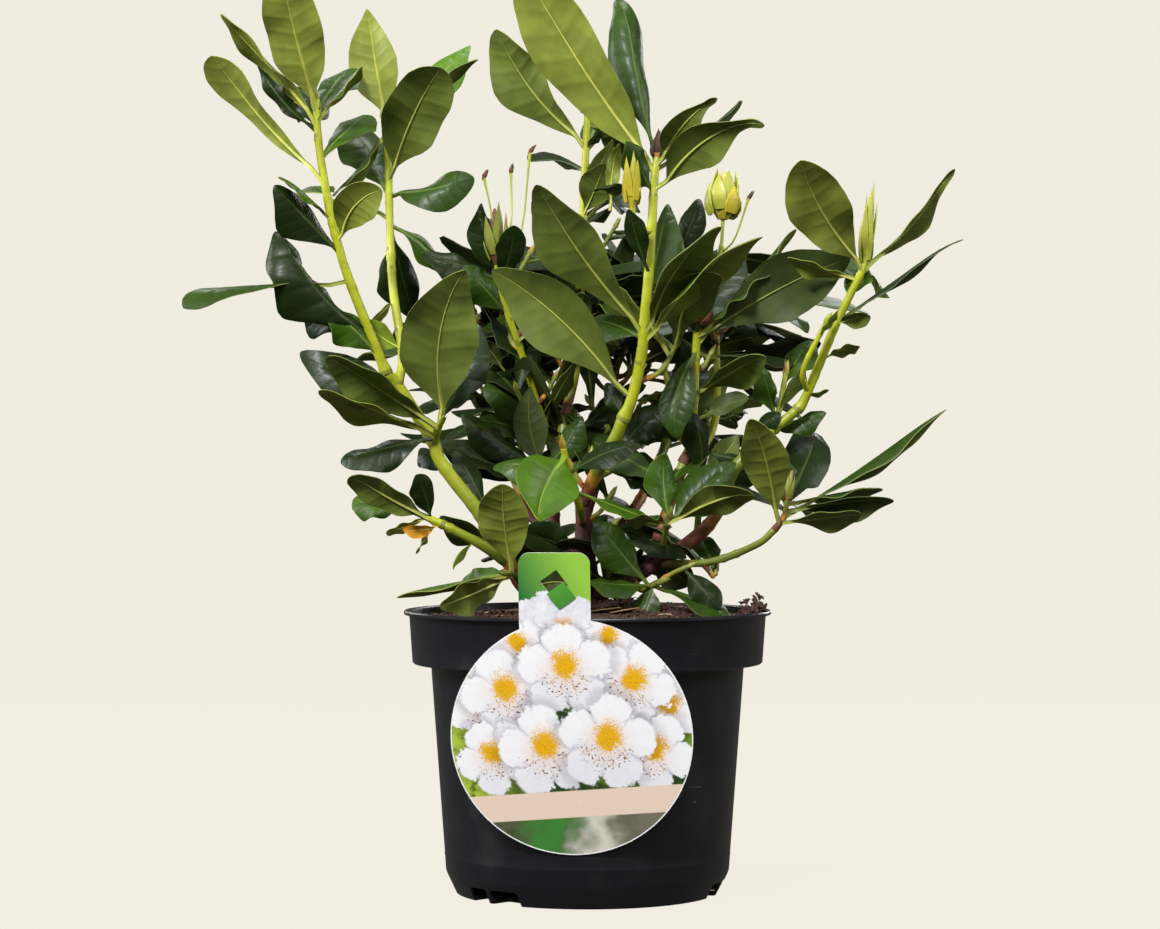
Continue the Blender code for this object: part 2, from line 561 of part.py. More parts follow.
def clear_start(path, solids):
    """The share of its length from which a limb is GAP clear of all that stands before it."""
    step = 0.15 / path.length
    share = min(0.9, START_SEARCH / path.length)
    while share > 0:
        points, radii = path.stations(share)
        heading = (points[1] - points[0]).normalized()
        across = heading.orthogonal().normalized() * radii[0]
        ring = [points[0] + Quaternion(heading, math.radians(30 * i)) @ across for i in range(12)]
        if min(solids.gap(point) for point in ring) < GAP + 0.05:
            return share + step
        share -= step
    return 0.0


def leaf_sections(blade, margin=0.0):
    """Sections of a leaf, each its left edge, its right edge and the midrib below them."""
    side = blade.heading.cross(blade.under)
    petiole = blade.length * PETIOLE_SHARE
    reach = blade.length - petiole
    bend = math.radians(blade.bend) or 1e-4
    neck = blade.root + blade.heading * petiole
    yield [blade.root - side * (PETIOLE_RADIUS + margin), blade.root + side * (PETIOLE_RADIUS + margin),
           blade.root + blade.under * (2 * PETIOLE_RADIUS + margin)]
    for share, wide in BLADE_OUTLINE:
        turn = bend * share
        middle = neck + reach / bend * (
            math.sin(turn) * blade.heading + (1 - math.cos(turn)) * blade.under)
        below = math.cos(turn) * blade.under - math.sin(turn) * blade.heading
        half = max(blade.width / 2 * wide, PETIOLE_RADIUS) + margin
        deep = max(LEAF_THICKNESS * blade.length, 1.2 * PETIOLE_RADIUS * (1 - share)) + margin
        lift = below * -margin
        yield [middle - side * half + lift, middle + side * half + lift, middle + below * deep]
    yield [neck + (reach + margin) / bend * (
        math.sin(bend) * blade.heading + (1 - math.cos(bend)) * blade.under)]


def leaf_mesh(blade, margin=0.0):
    """A closed leaf, lofted through its sections to the tip."""
    mesh = bmesh.new()
    sections = [[mesh.verts.new(point) for point in section] for section in leaf_sections(blade, margin)]
    mesh.faces.new(sections[0])
    for near, far in zip(sections, sections[1:]):
        for i in range(3):
            j = (i + 1) % 3
            corners = (near[i], near[j], far[j], far[i]) if len(far) == 3 else (near[i], near[j], far[0])
            mesh.faces.new(corners)
    bmesh.ops.recalc_face_normals(mesh, faces=mesh.faces)
    return mesh


def set_blade(path, leaf, swing=0.0):
    """A leaf of a shoot, from its row."""
    clock = math.radians(leaf.clock)
    toward = math.radians(leaf.toward + swing)
    heading = Vector((math.cos(clock) * math.cos(toward), -math.sin(toward),
                      math.sin(clock) * math.cos(toward)))
    under = Quaternion(heading, math.radians(leaf.face)) @ toward_front(heading)
    return Blade(path.at(leaf.share), heading, under, leaf.length, leaf.width, leaf.bend)


def grown_blade(root, axis, heading, length, width, bend, roll):
    """A leaf that keeps its upper side to the shoot's axis, give or take its roll."""
    under = (heading * axis.dot(heading) - axis).normalized()
    return Blade(root, heading, Quaternion(heading, math.radians(roll)) @ under, length, width, bend)


def far_blades(path, count, draw):
    """Leaves on the far side of a shoot, spaced up it by the golden angle."""
    for i in range(count):
        share = 0.97 - 0.5 * i / max(count, 1) * draw.uniform(0.6, 1.0)
        clock = math.radians(90 + ((i * GOLDEN_ANGLE) % 360 - 180) * FAR_SPREAD)
        toward = math.radians(draw.uniform(*FAR_TOWARD))
        length = draw.uniform(*FAR_LENGTH)
        bend = draw.uniform(10, 35)
        roll = draw.uniform(-20, 20)
        heading = Vector((math.cos(clock) * math.cos(toward), -math.sin(toward),
                          math.sin(clock) * math.cos(toward)))
        yield grown_blade(path.at(share), path.heading(share), heading, length,
                          length * FAR_WIDTH, bend, roll)


def whorl_blades(path, count, draw):
    """A whorl of leaves round the end of a twig."""
    axis = path.heading(1.0)
    across = axis.orthogonal().normalized()
    first = draw.uniform(0, 360)
    for i in range(count):
        around = Quaternion(axis, math.radians(first + i * GOLDEN_ANGLE)) @ across
        rise = math.radians(draw.uniform(15, 50))
        length = draw.uniform(*SPRAY_LEAF)
        bend = draw.uniform(15, 45)
        roll = draw.uniform(-20, 20)
        heading = around * math.cos(rise) + axis * math.sin(rise)
        yield grown_blade(path.at(0.97 - 0.05 * i), axis, heading, length, length * FAR_WIDTH, bend, roll)


def spray_paths(stem, count, draw):
    """Twigs that spring from a stem by the golden angle and curve up."""
    for i in range(count):
        share = 0.15 + 0.65 * i / count
        root = stem.at(share)
        axis = stem.heading(share)
        around = Quaternion(axis, math.radians(i * GOLDEN_ANGLE + draw.uniform(-15, 15)))
        out = around @ axis.orthogonal().normalized()
        length = draw.uniform(*SPRAY_LENGTH)
        middle = root + (out * 0.8 + axis * 0.45) * length * 0.5
        tip = middle + (out * 0.55 + Vector((0, 0, 0.8))) * length * 0.5
        yield Path([root, middle, tip], (3.8, 3.0))


def in_reach(stem, blade, sprays):
    """Whether a leaf's tip keeps to the mass's own space, a ball round the middle of its stem."""
    tip = blade.root + blade.heading * blade.length
    if sprays and tip.z > REAR_TOP:
        return False
    return (tip - stem.at(0.5)).length < REACH + stem.length / 2


def bud_line(path, bud):
    """Points and radii of the bud at a shoot's tip, swelling and then drawn to a point."""
    length, thick = bud
    start = path.at(1.0) - path.heading(1.0) * BUD_SINK
    steps = len(BUD_SHAPE) - 1
    points = [start + path.heading(1.0) * (BUD_SINK + length) * i / steps for i in range(steps + 1)]
    return points, [thick / 2 * share for share in BUD_SHAPE]


def stalk_line(path, stalk):
    """Points and radii of a bare flower stalk with the swelling left at its end."""
    points = [path.at(0.97), *(seen(*dot) for dot in stalk)]
    points.append(points[-1].lerp(points[-2], -0.22))
    return points, [1.2, 1.0, 1.7, 1.0]


def fuse(body, pieces):
    """Joins the pieces to the body by one union and drops scraps and sealed hollows."""
    union = body.modifiers.new("fuse", "BOOLEAN")
    union.operation = "UNION"
    union.operand_type = "COLLECTION"
    union.collection = pieces
    union.solver = "MANIFOLD"
    applied(body)
    for piece in list(pieces.objects):
        bpy.data.objects.remove(piece)
    mesh = bmesh.new()
    mesh.from_mesh(body.data)
    bmesh.ops.triangulate(mesh, faces=mesh.faces)
    left = set(mesh.verts)
    islands = []
    while left:
        island = {left.pop()}
        edge = list(island)
        while edge:
            near = {e.other_vert(v) for v in edge for e in v.link_edges} - island
            island |= near
            edge = list(near)
        left -= island
        islands.append(island)
    islands.sort(key=len)
    for island in islands[:-1]:
        bmesh.ops.delete(mesh, geom=list(island), context="VERTS")
    mesh.to_mesh(body.data)
    mesh.free()


class Growth:
    """One mass of foliage while it grows: its stem, and the pieces to be fused to it."""

    def __init__(self, name, mass, boughs, home, solids):
        self.name = name
        self.mass = mass
        self.solids = solids
        self.pieces = bpy.data.collections.new(name + "_pieces")
        bpy.context.scene.collection.children.link(self.pieces)
        root = boughs[mass.bough].at(mass.stem.share)
        self.stem = Path([root, *(seen(*dot) for dot in mass.stem.through)], mass.stem.thick)
        points, radii = self.stem.stations(clear_start(self.stem, solids))
        self.body = tube(name, points, radii, TWIG_SIDES, home)
        solids.add(name, self.body)

    def add_tube(self, points, radii):
        """Adds a twig, bud or stalk where it is clear of every other solid."""
        if not self.solids.clear(points, radii, self.name):
            print("skipped tube", self.name, [round(c) for c in points[-1]])
            return False
        self.solids.add(self.name, tube("piece", points, radii, TWIG_SIDES, self.pieces))
        return True

    def add_leaf(self, blade):
        """Adds a leaf where it is clear of every other solid."""
        if self.solids.touch(leaf_mesh(blade, LEAF_MARGIN), self.name):
            return False
        self.solids.add(self.name, object_from(leaf_mesh(blade), "leaf", self.pieces))
        return True

    def set_out(self):
        """Adds the shoots, buds, stalks and leaves of the mass's rows."""
        paths = [(self.stem, self.mass.stem)]
        for row in self.mass.shoots:
            path = Path([self.stem.at(row.share), *(seen(*dot) for dot in row.through)], row.thick)
            if self.add_tube(*path.stations()):
                paths.append((path, row))
        for path, row in paths:
            self.add_tube(*bud_line(path, row.bud))
            for stalk in row.stalks:
                self.add_tube(*stalk_line(path, stalk))
            for leaf in row.leaves:
                if not any(self.add_leaf(set_blade(path, Leaf(*leaf), swing)) for swing in SWINGS):
                    print("skipped leaf", self.name, leaf)

    def grow(self):
        """Adds what the seeded rule gives: leaves on the far side, and sprays."""
        draw = random.Random(self.mass.seed)
        blades = list(far_blades(self.stem, self.mass.far_leaves, draw))
        for path in spray_paths(self.stem, self.mass.sprays, draw):
            if self.add_tube(*path.stations()):
                self.add_tube(*bud_line(path, (9, 4)))
                blades += whorl_blades(path, SPRAY_LEAVES, draw)
        for blade in blades:
            if not in_reach(self.stem, blade, self.mass.sprays) or not self.add_leaf(blade):
                print("skipped grown", self.name)

    def join(self):
        """Fuses all of it to one solid."""
        fuse(self.body, self.pieces)
        bpy.data.collections.remove(self.pieces)
        self.body.data.materials.clear()
        self.body.data.materials.append(material(self.name, "foliage"))


def main():
    for old in list(bpy.data.objects):
        bpy.data.objects.remove(old)
    home = bpy.data.collections.new("potted_rhododendron")
    cutters = bpy.data.collections.new("cutters")
    for collection in (home, cutters):
        bpy.context.scene.collection.children.link(collection)
    solids = Solids()
    pot = make_pot(home, cutters)
    soil = make_soil(home)
    label = make_label(home)
    bpy.context.view_layer.update()
    for solid in (pot, soil, label):
        solids.add(solid.name, solid)
    boughs = {"trunk": make_trunk(home, solids)}
    for name, bough in BOUGHS.items():
        root = boughs[bough.parent].at(bough.share)
        path = Path([root, *(seen(*dot) for dot in bough.through)], bough.thick)
        limb = tube(name, *path.stations(clear_start(path, solids)), BOUGH_SIDES, home)
        limb.data.materials.append(material(name, "bough"))
        solids.add(name, limb)
        boughs[name] = path
    growths = [Growth(name, mass, boughs, home, solids) for name, mass in MASSES.items()]
    for growth in growths:
        growth.set_out()
    for growth in growths:
        growth.grow()
    for growth in growths:
        growth.join()


main()
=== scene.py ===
"""The potted rhododendron dressed: pot, bark soil, picture label, bark, twigs, leaves and buds.

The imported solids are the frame. Lengths are in millimetres and become metres where a mesh is made.
X runs to the right of the label, Y away from it and Z up, from the centre of the pot's underside.
"""

import json
import logging
import math
import random
from dataclasses import dataclass, field
from enum import Enum
from itertools import repeat
from typing import Any, Callable, Iterable, Iterator, NamedTuple, Optional, Sequence

import bpy
import numpy as np
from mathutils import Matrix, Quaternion, Vector, noise
from mathutils.bvhtree import BVHTree

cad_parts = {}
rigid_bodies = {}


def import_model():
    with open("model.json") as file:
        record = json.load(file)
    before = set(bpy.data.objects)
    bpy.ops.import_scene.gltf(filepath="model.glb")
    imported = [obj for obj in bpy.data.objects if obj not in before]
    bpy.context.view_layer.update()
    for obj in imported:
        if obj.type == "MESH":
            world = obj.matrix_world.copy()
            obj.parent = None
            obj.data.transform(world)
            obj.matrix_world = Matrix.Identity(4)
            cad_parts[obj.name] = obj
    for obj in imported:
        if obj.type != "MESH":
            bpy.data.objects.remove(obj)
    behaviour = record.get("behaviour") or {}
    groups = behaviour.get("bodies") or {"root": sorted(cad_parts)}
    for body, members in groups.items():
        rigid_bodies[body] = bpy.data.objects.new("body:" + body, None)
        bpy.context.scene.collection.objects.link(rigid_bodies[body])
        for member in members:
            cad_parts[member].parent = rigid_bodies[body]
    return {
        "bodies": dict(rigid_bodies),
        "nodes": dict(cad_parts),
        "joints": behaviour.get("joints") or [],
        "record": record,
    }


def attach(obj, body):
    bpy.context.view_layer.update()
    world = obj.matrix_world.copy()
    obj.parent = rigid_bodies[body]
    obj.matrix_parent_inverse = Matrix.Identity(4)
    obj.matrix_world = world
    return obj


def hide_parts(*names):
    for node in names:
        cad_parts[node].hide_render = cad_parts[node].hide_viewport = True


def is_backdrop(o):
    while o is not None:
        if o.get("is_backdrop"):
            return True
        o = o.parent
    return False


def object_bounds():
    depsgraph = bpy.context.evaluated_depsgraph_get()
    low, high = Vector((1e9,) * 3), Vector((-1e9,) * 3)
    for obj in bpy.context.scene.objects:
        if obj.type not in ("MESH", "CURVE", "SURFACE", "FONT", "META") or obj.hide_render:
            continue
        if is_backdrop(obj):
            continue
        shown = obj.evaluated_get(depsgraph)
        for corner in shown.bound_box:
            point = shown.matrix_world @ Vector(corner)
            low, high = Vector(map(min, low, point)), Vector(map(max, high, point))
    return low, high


LOG = logging.getLogger("rhododendron")
MM = 0.001
BODY = "root"

Color = tuple[float, float, float]


def srgb(red: int, green: int, blue: int) -> Color:
    """A display colour of 0 to 255 a channel as the linear values that a shader takes."""
    return tuple(((c / 255 + 0.055) / 1.055) ** 2.4 if c > 10 else c / 3294.6 for c in (red, green, blue))


# ---------------------------------------------------------------------------- shader maths


def math_node(operation: str, first: bool = True) -> Callable[..., "Number"]:
    """A method of Number that adds one Math node.

    Args:
        operation: the node's operation.
        first: whether the number's own value comes first.

    Returns:
        The method, which takes the other values.
    """

    def method(self: "Number", *others: Any) -> "Number":
        """The node's result."""
        values = (self, *others) if first else (*others, self)
        return self.graph.number("ShaderNodeMath", {"operation": operation}, *values)

    return method


class Number:
    """A number socket of a node tree, which takes part in Python sums."""

    __add__, __radd__ = math_node("ADD"), math_node("ADD", False)
    __sub__, __rsub__ = math_node("SUBTRACT"), math_node("SUBTRACT", False)
    __mul__, __rmul__ = math_node("MULTIPLY"), math_node("MULTIPLY", False)
    __truediv__, __rtruediv__ = math_node("DIVIDE"), math_node("DIVIDE", False)
    __pow__, __abs__ = math_node("POWER"), math_node("ABSOLUTE")
    least, most = math_node("MINIMUM"), math_node("MAXIMUM")
    sine, cosine, bearing = math_node("SINE"), math_node("COSINE"), math_node("ARCTAN2")

    def __init__(self, graph: "Graph", socket: bpy.types.NodeSocket) -> None:
        """Wraps one output socket of the graph."""
        self.graph = graph
        self.socket = socket

    def above(self, edge: float, soft: float) -> "Number":
        """A mask that rises from 0 to 1 across the edge.

        Args:
            edge: the value at the middle of the rise.
            soft: half the width of the rise.

        Returns:
            The mask.
        """
        ranged = {"interpolation_type": "SMOOTHSTEP"}
        return self.graph.number("ShaderNodeMapRange", ranged, self, edge - soft, edge + soft, 0.0, 1.0)

    def below(self, edge: float, soft: float) -> "Number":
        """A mask that falls from 1 to 0 across the edge, soft wide on each side."""
        return 1 - self.above(edge, soft)


class Graph:
    """The node tree of one material, round its Principled shader."""

    def __init__(self, name: str, **values: Any) -> None:
        """Makes the material.

        Args:
            name: the material's name.
            values: constants of the shader's own sockets, by name with _ for a space.
        """
        self.material = bpy.data.materials.new(name)
        self.material.use_nodes = True
        self.tree = self.material.node_tree
        self.shader = self.tree.nodes["Principled BSDF"]
        for key, value in values.items():
            self.feed(key.replace("_", " "), value)

    def node(self, kind: str, settings: Optional[dict] = None, *inputs: Any, **named: Any) -> Any:
        """Adds a node.

        Args:
            kind: its type.
            settings: its own settings, set first; stops are a ramp's (place, colour) pairs.
            inputs: values or links of its sockets in order, None to leave one.
            named: values or links by socket name, with _ for a space.

        Returns:
            The node.
        """
        made = self.tree.nodes.new(kind)
        for key, value in (settings or {}).items():
            if key == "stops":
                ramp = made.color_ramp
                while len(ramp.elements) > 1:
                    ramp.elements.remove(ramp.elements[-1])
                for i, (place, color) in enumerate(value):
                    stop = ramp.elements[0] if i == 0 else ramp.elements.new(place)
                    stop.position = place
                    stop.color = (*color, 1.0)
            else:
                setattr(made, key, value)
        pairs = [(i, v) for i, v in enumerate(inputs) if v is not None]
        pairs += [(k.replace("_", " "), v) for k, v in named.items()]
        for key, value in pairs:
            self.plug(made.inputs[key], value)
        return made

    def plug(self, socket: bpy.types.NodeSocket, value: Any) -> None:
        """Links or sets one input socket."""
        if isinstance(value, Number):
            value = value.socket
        if isinstance(value, bpy.types.NodeSocket):
            self.tree.links.new(value, socket)
        elif isinstance(value, (tuple, list)) and socket.type == "RGBA" and len(value) == 3:
            socket.default_value = (*value, 1.0)
        else:
            socket.default_value = value

    def feed(self, socket: str, value: Any) -> None:
        """Links or sets one socket of the Principled shader."""
        self.plug(self.shader.inputs[socket], value)

    def number(self, kind: str, settings: Optional[dict] = None, *inputs: Any, **named: Any) -> Number:
        """Adds a node and returns its first output as a number."""
        return Number(self, self.node(kind, settings, *inputs, **named).outputs[0])

    def place(self) -> bpy.types.NodeSocket:
        """The point of the surface in the object's own space, in metres."""
        return self.node("ShaderNodeTexCoord").outputs["Object"]

    def noise(self, scale: float, detail: float = 3.0, where: Any = None, rough: float = 0.5) -> Number:
        """A soft noise of 0 to 1.

        Args:
            scale: its repeats in a metre, or in a unit of where.
            detail: its finer layers.
            where: the coordinates to read, the object's own by default.
            rough: how strong the finer layers are.

        Returns:
            The noise.
        """
        where = self.place() if where is None else where
        return self.number("ShaderNodeTexNoise", None, Vector=where, Scale=scale, Detail=detail, Roughness=rough)

    def mix(self, factor: Any, one: Any, two: Any, blend: str = "MIX") -> bpy.types.NodeSocket:
        """Mixes two colours.

        Args:
            factor: 0 for the first colour to 1 for the second.
            one: the first colour.
            two: the second colour.
            blend: the way of mixing.

        Returns:
            The mixed colour.
        """
        made = self.node("ShaderNodeMix", {"data_type": "RGBA", "blend_type": blend})
        for key, value in (("Factor_Float", factor), ("A_Color", one), ("B_Color", two)):
            self.plug(next(s for s in made.inputs if s.identifier == key), value)
        return next(s for s in made.outputs if s.identifier == "Result_Color")

    def bump(self, height: Number, strength: float, depth: float) -> None:
        """Raises the surface by a height of 0 to 1 times depth in metres."""
        made = self.node("ShaderNodeBump", None, Strength=strength, Distance=depth, Height=height)
        self.feed("Normal", made.outputs["Normal"])



# ---------------------------------------------------------------------------- finishes


@dataclass(frozen=True)
class SkinFinish:
    """The skin of a leaf, twig or bud: one plain colour with a fine grain and an uneven gloss."""

    name: str
    color: Color
    gloss: float
    coat: float = 0.0
    grain: float = 1400.0
    relief: float = 0.00025
    shine: float = 0.45

    def made(self) -> bpy.types.Material:
        """The finish as a material."""
        graph = Graph(self.name, Coat_Weight=self.coat, Coat_Roughness=0.12, Specular_IOR_Level=self.shine)
        cloud = graph.noise(75.0, 3.0)
        darker, lighter = (tuple(c * k for c in self.color) for k in (0.82, 1.1))
        graph.feed("Base Color", graph.mix(cloud.above(0.5, 0.2), darker, lighter))
        uneven = graph.noise(70.0, 2.0)
        grain = graph.noise(self.grain, 2.0)
        graph.feed("Roughness", uneven * 0.24 + (self.gloss - 0.08))
        graph.bump(uneven * 0.6 + grain * 0.4, 0.5, self.relief)
        return graph.material


@dataclass(frozen=True)
class BarkFinish:
    """Bark by its age, kept on the limb's skin: green when young, then orange, then red-brown."""

    name: str
    stops: tuple[tuple[float, Color], ...] = (
        (0.0, srgb(160, 166, 32)), (0.22, srgb(134, 146, 32)), (0.45, srgb(92, 104, 34)),
        (0.53, srgb(178, 124, 40)), (0.59, srgb(124, 64, 36)), (0.68, srgb(80, 36, 31)),
        (1.0, srgb(55, 29, 27)))

    def made(self) -> bpy.types.Material:
        """The finish as a material."""
        graph = Graph(self.name)
        skin = graph.node("ShaderNodeUVMap", {"uv_map": "skin"}).outputs["UV"]
        age = graph.number("ShaderNodeAttribute", {"attribute_name": "age"})
        age.socket = age.socket.node.outputs["Fac"]
        streaks = graph.node("ShaderNodeMapping", None, Vector=skin, Scale=(60.0, 420.0, 1.0)).outputs[0]
        fibres = graph.noise(1.0, 4.0, streaks, 0.6)
        blotches = graph.noise(160.0, 3.0)
        aged = age + (fibres - 0.5) * 0.16 + (blotches - 0.5) * 0.2
        ramp = graph.node("ShaderNodeValToRGB", {"stops": self.stops}, aged)
        old = age.above(0.6, 0.1)
        grey = graph.mix(fibres.above(0.58, 0.08) * old * 0.28, ramp.outputs["Color"], srgb(124, 88, 76))
        dark = graph.mix(blotches.above(0.66, 0.05) * 0.35, grey, srgb(46, 40, 22), "MULTIPLY")
        graph.feed("Base Color", dark)
        graph.feed("Roughness", old * 0.3 + fibres * 0.2 + 0.32)
        graph.bump(fibres * (old * 0.8 + 0.2) + blotches * 0.3, 0.7, 0.0008)
        return graph.material


@dataclass(frozen=True)
class PotFinish:
    """Charcoal moulded plastic: satin, with flow lines, dust, specks and scuffs."""

    name: str = "pot_charcoal"
    color: Color = srgb(19, 19, 24)
    dust: Color = srgb(92, 88, 84)

    def made(self) -> bpy.types.Material:
        """The finish as a material."""
        graph = Graph(self.name)
        graph.feed("Coat Roughness", 0.2)
        place = graph.place()
        flow = graph.node("ShaderNodeMapping", None, Vector=place, Scale=(120.0, 120.0, 6.0)).outputs[0]
        lines = graph.noise(1.0, 3.0, flow)
        cloud = graph.noise(26.0, 4.0, place)
        pores = graph.noise(2600.0, 1.0, place)
        specks = graph.number("ShaderNodeTexVoronoi", None, Vector=place, Scale=70.0)
        rough_specks = specks.below(0.06, 0.02) * cloud.above(0.52, 0.05)
        scratch = graph.node("ShaderNodeMapping", None, Vector=place, Rotation=(0.0, 0.5, 0.4),
                             Scale=(30.0, 30.0, 700.0)).outputs[0]
        scuffs = graph.noise(1.0, 2.0, scratch).above(0.74, 0.02) * cloud.above(0.55, 0.1)
        dusty = rough_specks * 0.7 + scuffs * 0.35 + cloud.above(0.62, 0.1) * 0.06
        graph.feed("Base Color", graph.mix(dusty.least(1.0), self.color, self.dust))
        graph.feed("Roughness", cloud * 0.16 + lines * 0.08 + dusty * 0.3 + 0.2)
        graph.bump(pores * 0.25 + lines * 0.5 + scuffs * 0.6, 0.35, 0.0004)
        return graph.material


@dataclass(frozen=True)
class SoilFinish:
    """Moist peat and bark, near black with red-brown fibres."""

    name: str
    dark: Color = srgb(26, 18, 16)
    light: Color = srgb(84, 52, 40)

    def made(self) -> bpy.types.Material:
        """The finish as a material."""
        graph = Graph(self.name)
        clods = graph.noise(150.0, 5.0, rough=0.65)
        grit = graph.noise(900.0, 3.0)
        graph.feed("Base Color", graph.mix((clods * 0.7 + grit * 0.5 - 0.15).least(1.0), self.dark, self.light))
        graph.feed("Roughness", grit * 0.3 + 0.65)
        graph.bump(clods * 0.6 + grit * 0.4, 1.0, 0.002)
        return graph.material


class Flower(NamedTuple):
    """One printed flower: its centre and radius on the card, and the turn of its petals."""

    x: float
    y: float
    radius: float
    turn: float


@dataclass(frozen=True)
class PrintFinish:
    """The card's glossy print: white flowers over green leaves, with a plain blush band."""

    name: str = "label_print"
    flowers: tuple[Flower, ...] = (
        Flower(-30.0, 56.0, 19.0, 120.0), Flower(22.0, 60.0, 19.0, 66.0), Flower(-4.0, 70.0, 16.0, 90.0),
        Flower(56.0, 20.0, 22.0, 40.0), Flower(-55.0, 20.0, 20.0, 140.0), Flower(36.0, 33.0, 26.0, 60.0),
        Flower(-38.0, 27.0, 27.0, 112.0), Flower(-3.0, 41.0, 28.0, 95.0), Flower(48.0, -9.0, 25.0, 60.0),
        Flower(-46.0, -12.0, 23.0, 125.0), Flower(-15.0, -8.0, 28.0, 104.0), Flower(21.0, -3.0, 29.0, 82.0))
    white: Color = srgb(250, 250, 253)
    shade: Color = srgb(198, 196, 212)
    throat: Color = srgb(240, 220, 212)
    gold: Color = srgb(238, 180, 16)
    freckle: Color = srgb(104, 62, 48)
    blush: Color = srgb(238, 214, 196)

    def made(self) -> bpy.types.Material:
        """The finish as a material."""
        graph = Graph(self.name, Coat_Weight=0.4, Coat_Roughness=0.08)
        card = graph.node("ShaderNodeUVMap", {"uv_map": "card"}).outputs["UV"]
        split = graph.node("ShaderNodeSeparateXYZ", None, card)
        x, y = Number(graph, split.outputs[0]), Number(graph, split.outputs[1])
        wide = graph.noise(0.05, 3.0, card)
        ripple = graph.noise(0.16, 3.0, card)
        fine = graph.noise(0.9, 2.0, card)
        ruffle = graph.noise(0.45, 2.0, card)
        spots = graph.noise(0.62, 1.0, card)
        color = self.ground(graph, x, y, wide, ripple)
        wavy = (ripple - 0.5) * 7.0 + (ruffle - 0.5) * 4.0
        for flower in self.flowers:
            color = self.flower(graph, color, flower, x + wavy, y - wavy, fine, spots)
        color = self.tab(graph, color, x, y, wavy)
        tilted = y - x * 0.074
        band = tilted.above(-49.0, 0.25) * tilted.below(-32.5, 0.25)
        below = tilted.below(-49.0, 0.25)
        color = graph.mix(below, color, self.blur(graph, x, wide, ripple))
        color = graph.mix(band, color, self.blush)
        rim = ((x * x + y * y) ** 0.5).above(71.5, 0.12) * y.below(66.0, 0.3)
        graph.feed("Base Color", graph.mix(rim, color, self.white))
        graph.feed("Roughness", wide * 0.12 + 0.2)
        graph.bump(wide, 0.2, 0.0006)
        return graph.material

    def ground(self, graph: Graph, x: Number, y: Number, wide: Number, ripple: Number) -> Any:
        """The leaves behind the flowers, bright at the left and dark between."""
        leaf = graph.mix(wide.above(0.5, 0.12), srgb(44, 74, 30), srgb(126, 160, 44))
        lit = graph.mix(x.below(-40.0, 14.0) * ripple.above(0.42, 0.1), leaf, srgb(176, 200, 70))
        return graph.mix(y.above(26.0, 10.0) * 0.9, lit, self.white)

    def blur(self, graph: Graph, x: Number, wide: Number, ripple: Number) -> Any:
        """The unsharp foot of the print: dark leaves, a green patch and pale blooms."""
        warped = x + (wide - 0.5) * 50.0
        dark = graph.mix(ripple, srgb(44, 52, 36), srgb(104, 108, 78))
        green = graph.mix(abs(warped + 14.0).below(13.0, 12.0), dark, srgb(64, 132, 54))
        pale = graph.mix(abs(warped - 16.0).below(11.0, 12.0), green, srgb(216, 214, 200))
        return graph.mix(warped.above(36.0, 12.0) * 0.8, pale, srgb(128, 120, 106))

    def flower(self, graph: Graph, under: Any, flower: Flower, x: Number, y: Number, fine: Number,
               spots: Number) -> Any:
        """One flower over what is printed so far.

        Args:
            graph: the node tree.
            under: the colour so far.
            flower: its place and size.
            x: the card's ruffled coordinate to the right.
            y: the card's ruffled coordinate upwards.
            fine: a fine noise.
            spots: a coarser noise, for the freckles.

        Returns:
            The colour with the flower.
        """
        dx, dy = x - flower.x, y - flower.y
        reach = (dx * dx + dy * dy) ** 0.5 / flower.radius
        turn = dy.bearing(dx) - math.radians(flower.turn)
        lobe = abs((turn * 2.5).cosine())
        edge = reach / (lobe ** 0.5 * 0.36 + 0.66)
        color = graph.mix(edge.below(1.16, 0.16) * 0.32, under, srgb(96, 98, 120), "MULTIPLY")
        fold = lobe.below(0.12, 0.14) * reach.above(0.45, 0.3) * 0.8
        vein = (turn * 15.0).sine().above(0.9, 0.25) * 0.10
        up = turn.cosine() * 0.5 + 0.5
        low = up.below(0.35, 0.3) * reach.above(0.2, 0.2) * 0.28
        petal = graph.mix((fold + vein + low + (fine - 0.5) * 0.2).least(1.0).most(0.0), self.white, self.shade)
        petal = graph.mix(reach.below(0.42, 0.3) * 0.75, petal, self.throat)
        dots = spots.above(0.64, 0.02) * up.below(0.45, 0.15)
        dots = dots * reach.above(0.24, 0.06) * reach.below(0.62, 0.08)
        petal = graph.mix(dots, petal, self.freckle)
        gold = (reach * (1.6 - up) + (fine - 0.5) * 0.5).below(0.26, 0.07)
        petal = graph.mix(gold, petal, self.gold)
        petal = graph.mix(gold * fine.above(0.6, 0.04) * 0.6, petal, srgb(160, 112, 10))
        stamens = (turn * 9.0 + reach * 3.0).sine().above(0.95, 0.05) * up.below(0.35, 0.1)
        petal = graph.mix(stamens * reach.below(0.55, 0.03) * 0.65, petal, srgb(196, 152, 104))
        return graph.mix(edge.below(1.0, 0.04), color, petal)

    def tab(self, graph: Graph, under: Any, x: Number, y: Number, wavy: Number) -> Any:
        """The tab's green top over white petals."""
        across = ((x + 30.0) / 42.0 + (y - 86.0) / 90.0).least(1.0).most(0.0)
        green = graph.mix(across, srgb(24, 112, 56), srgb(150, 200, 70))
        white = graph.mix((wavy * 0.2 + 0.5).least(1.0).most(0.0), self.white, srgb(214, 214, 228))
        color = graph.mix(y.above(72.0, 4.0), under, white)
        return graph.mix((y + wavy + abs(x + 8.0) * 0.45).above(92.0, 0.6), color, green)


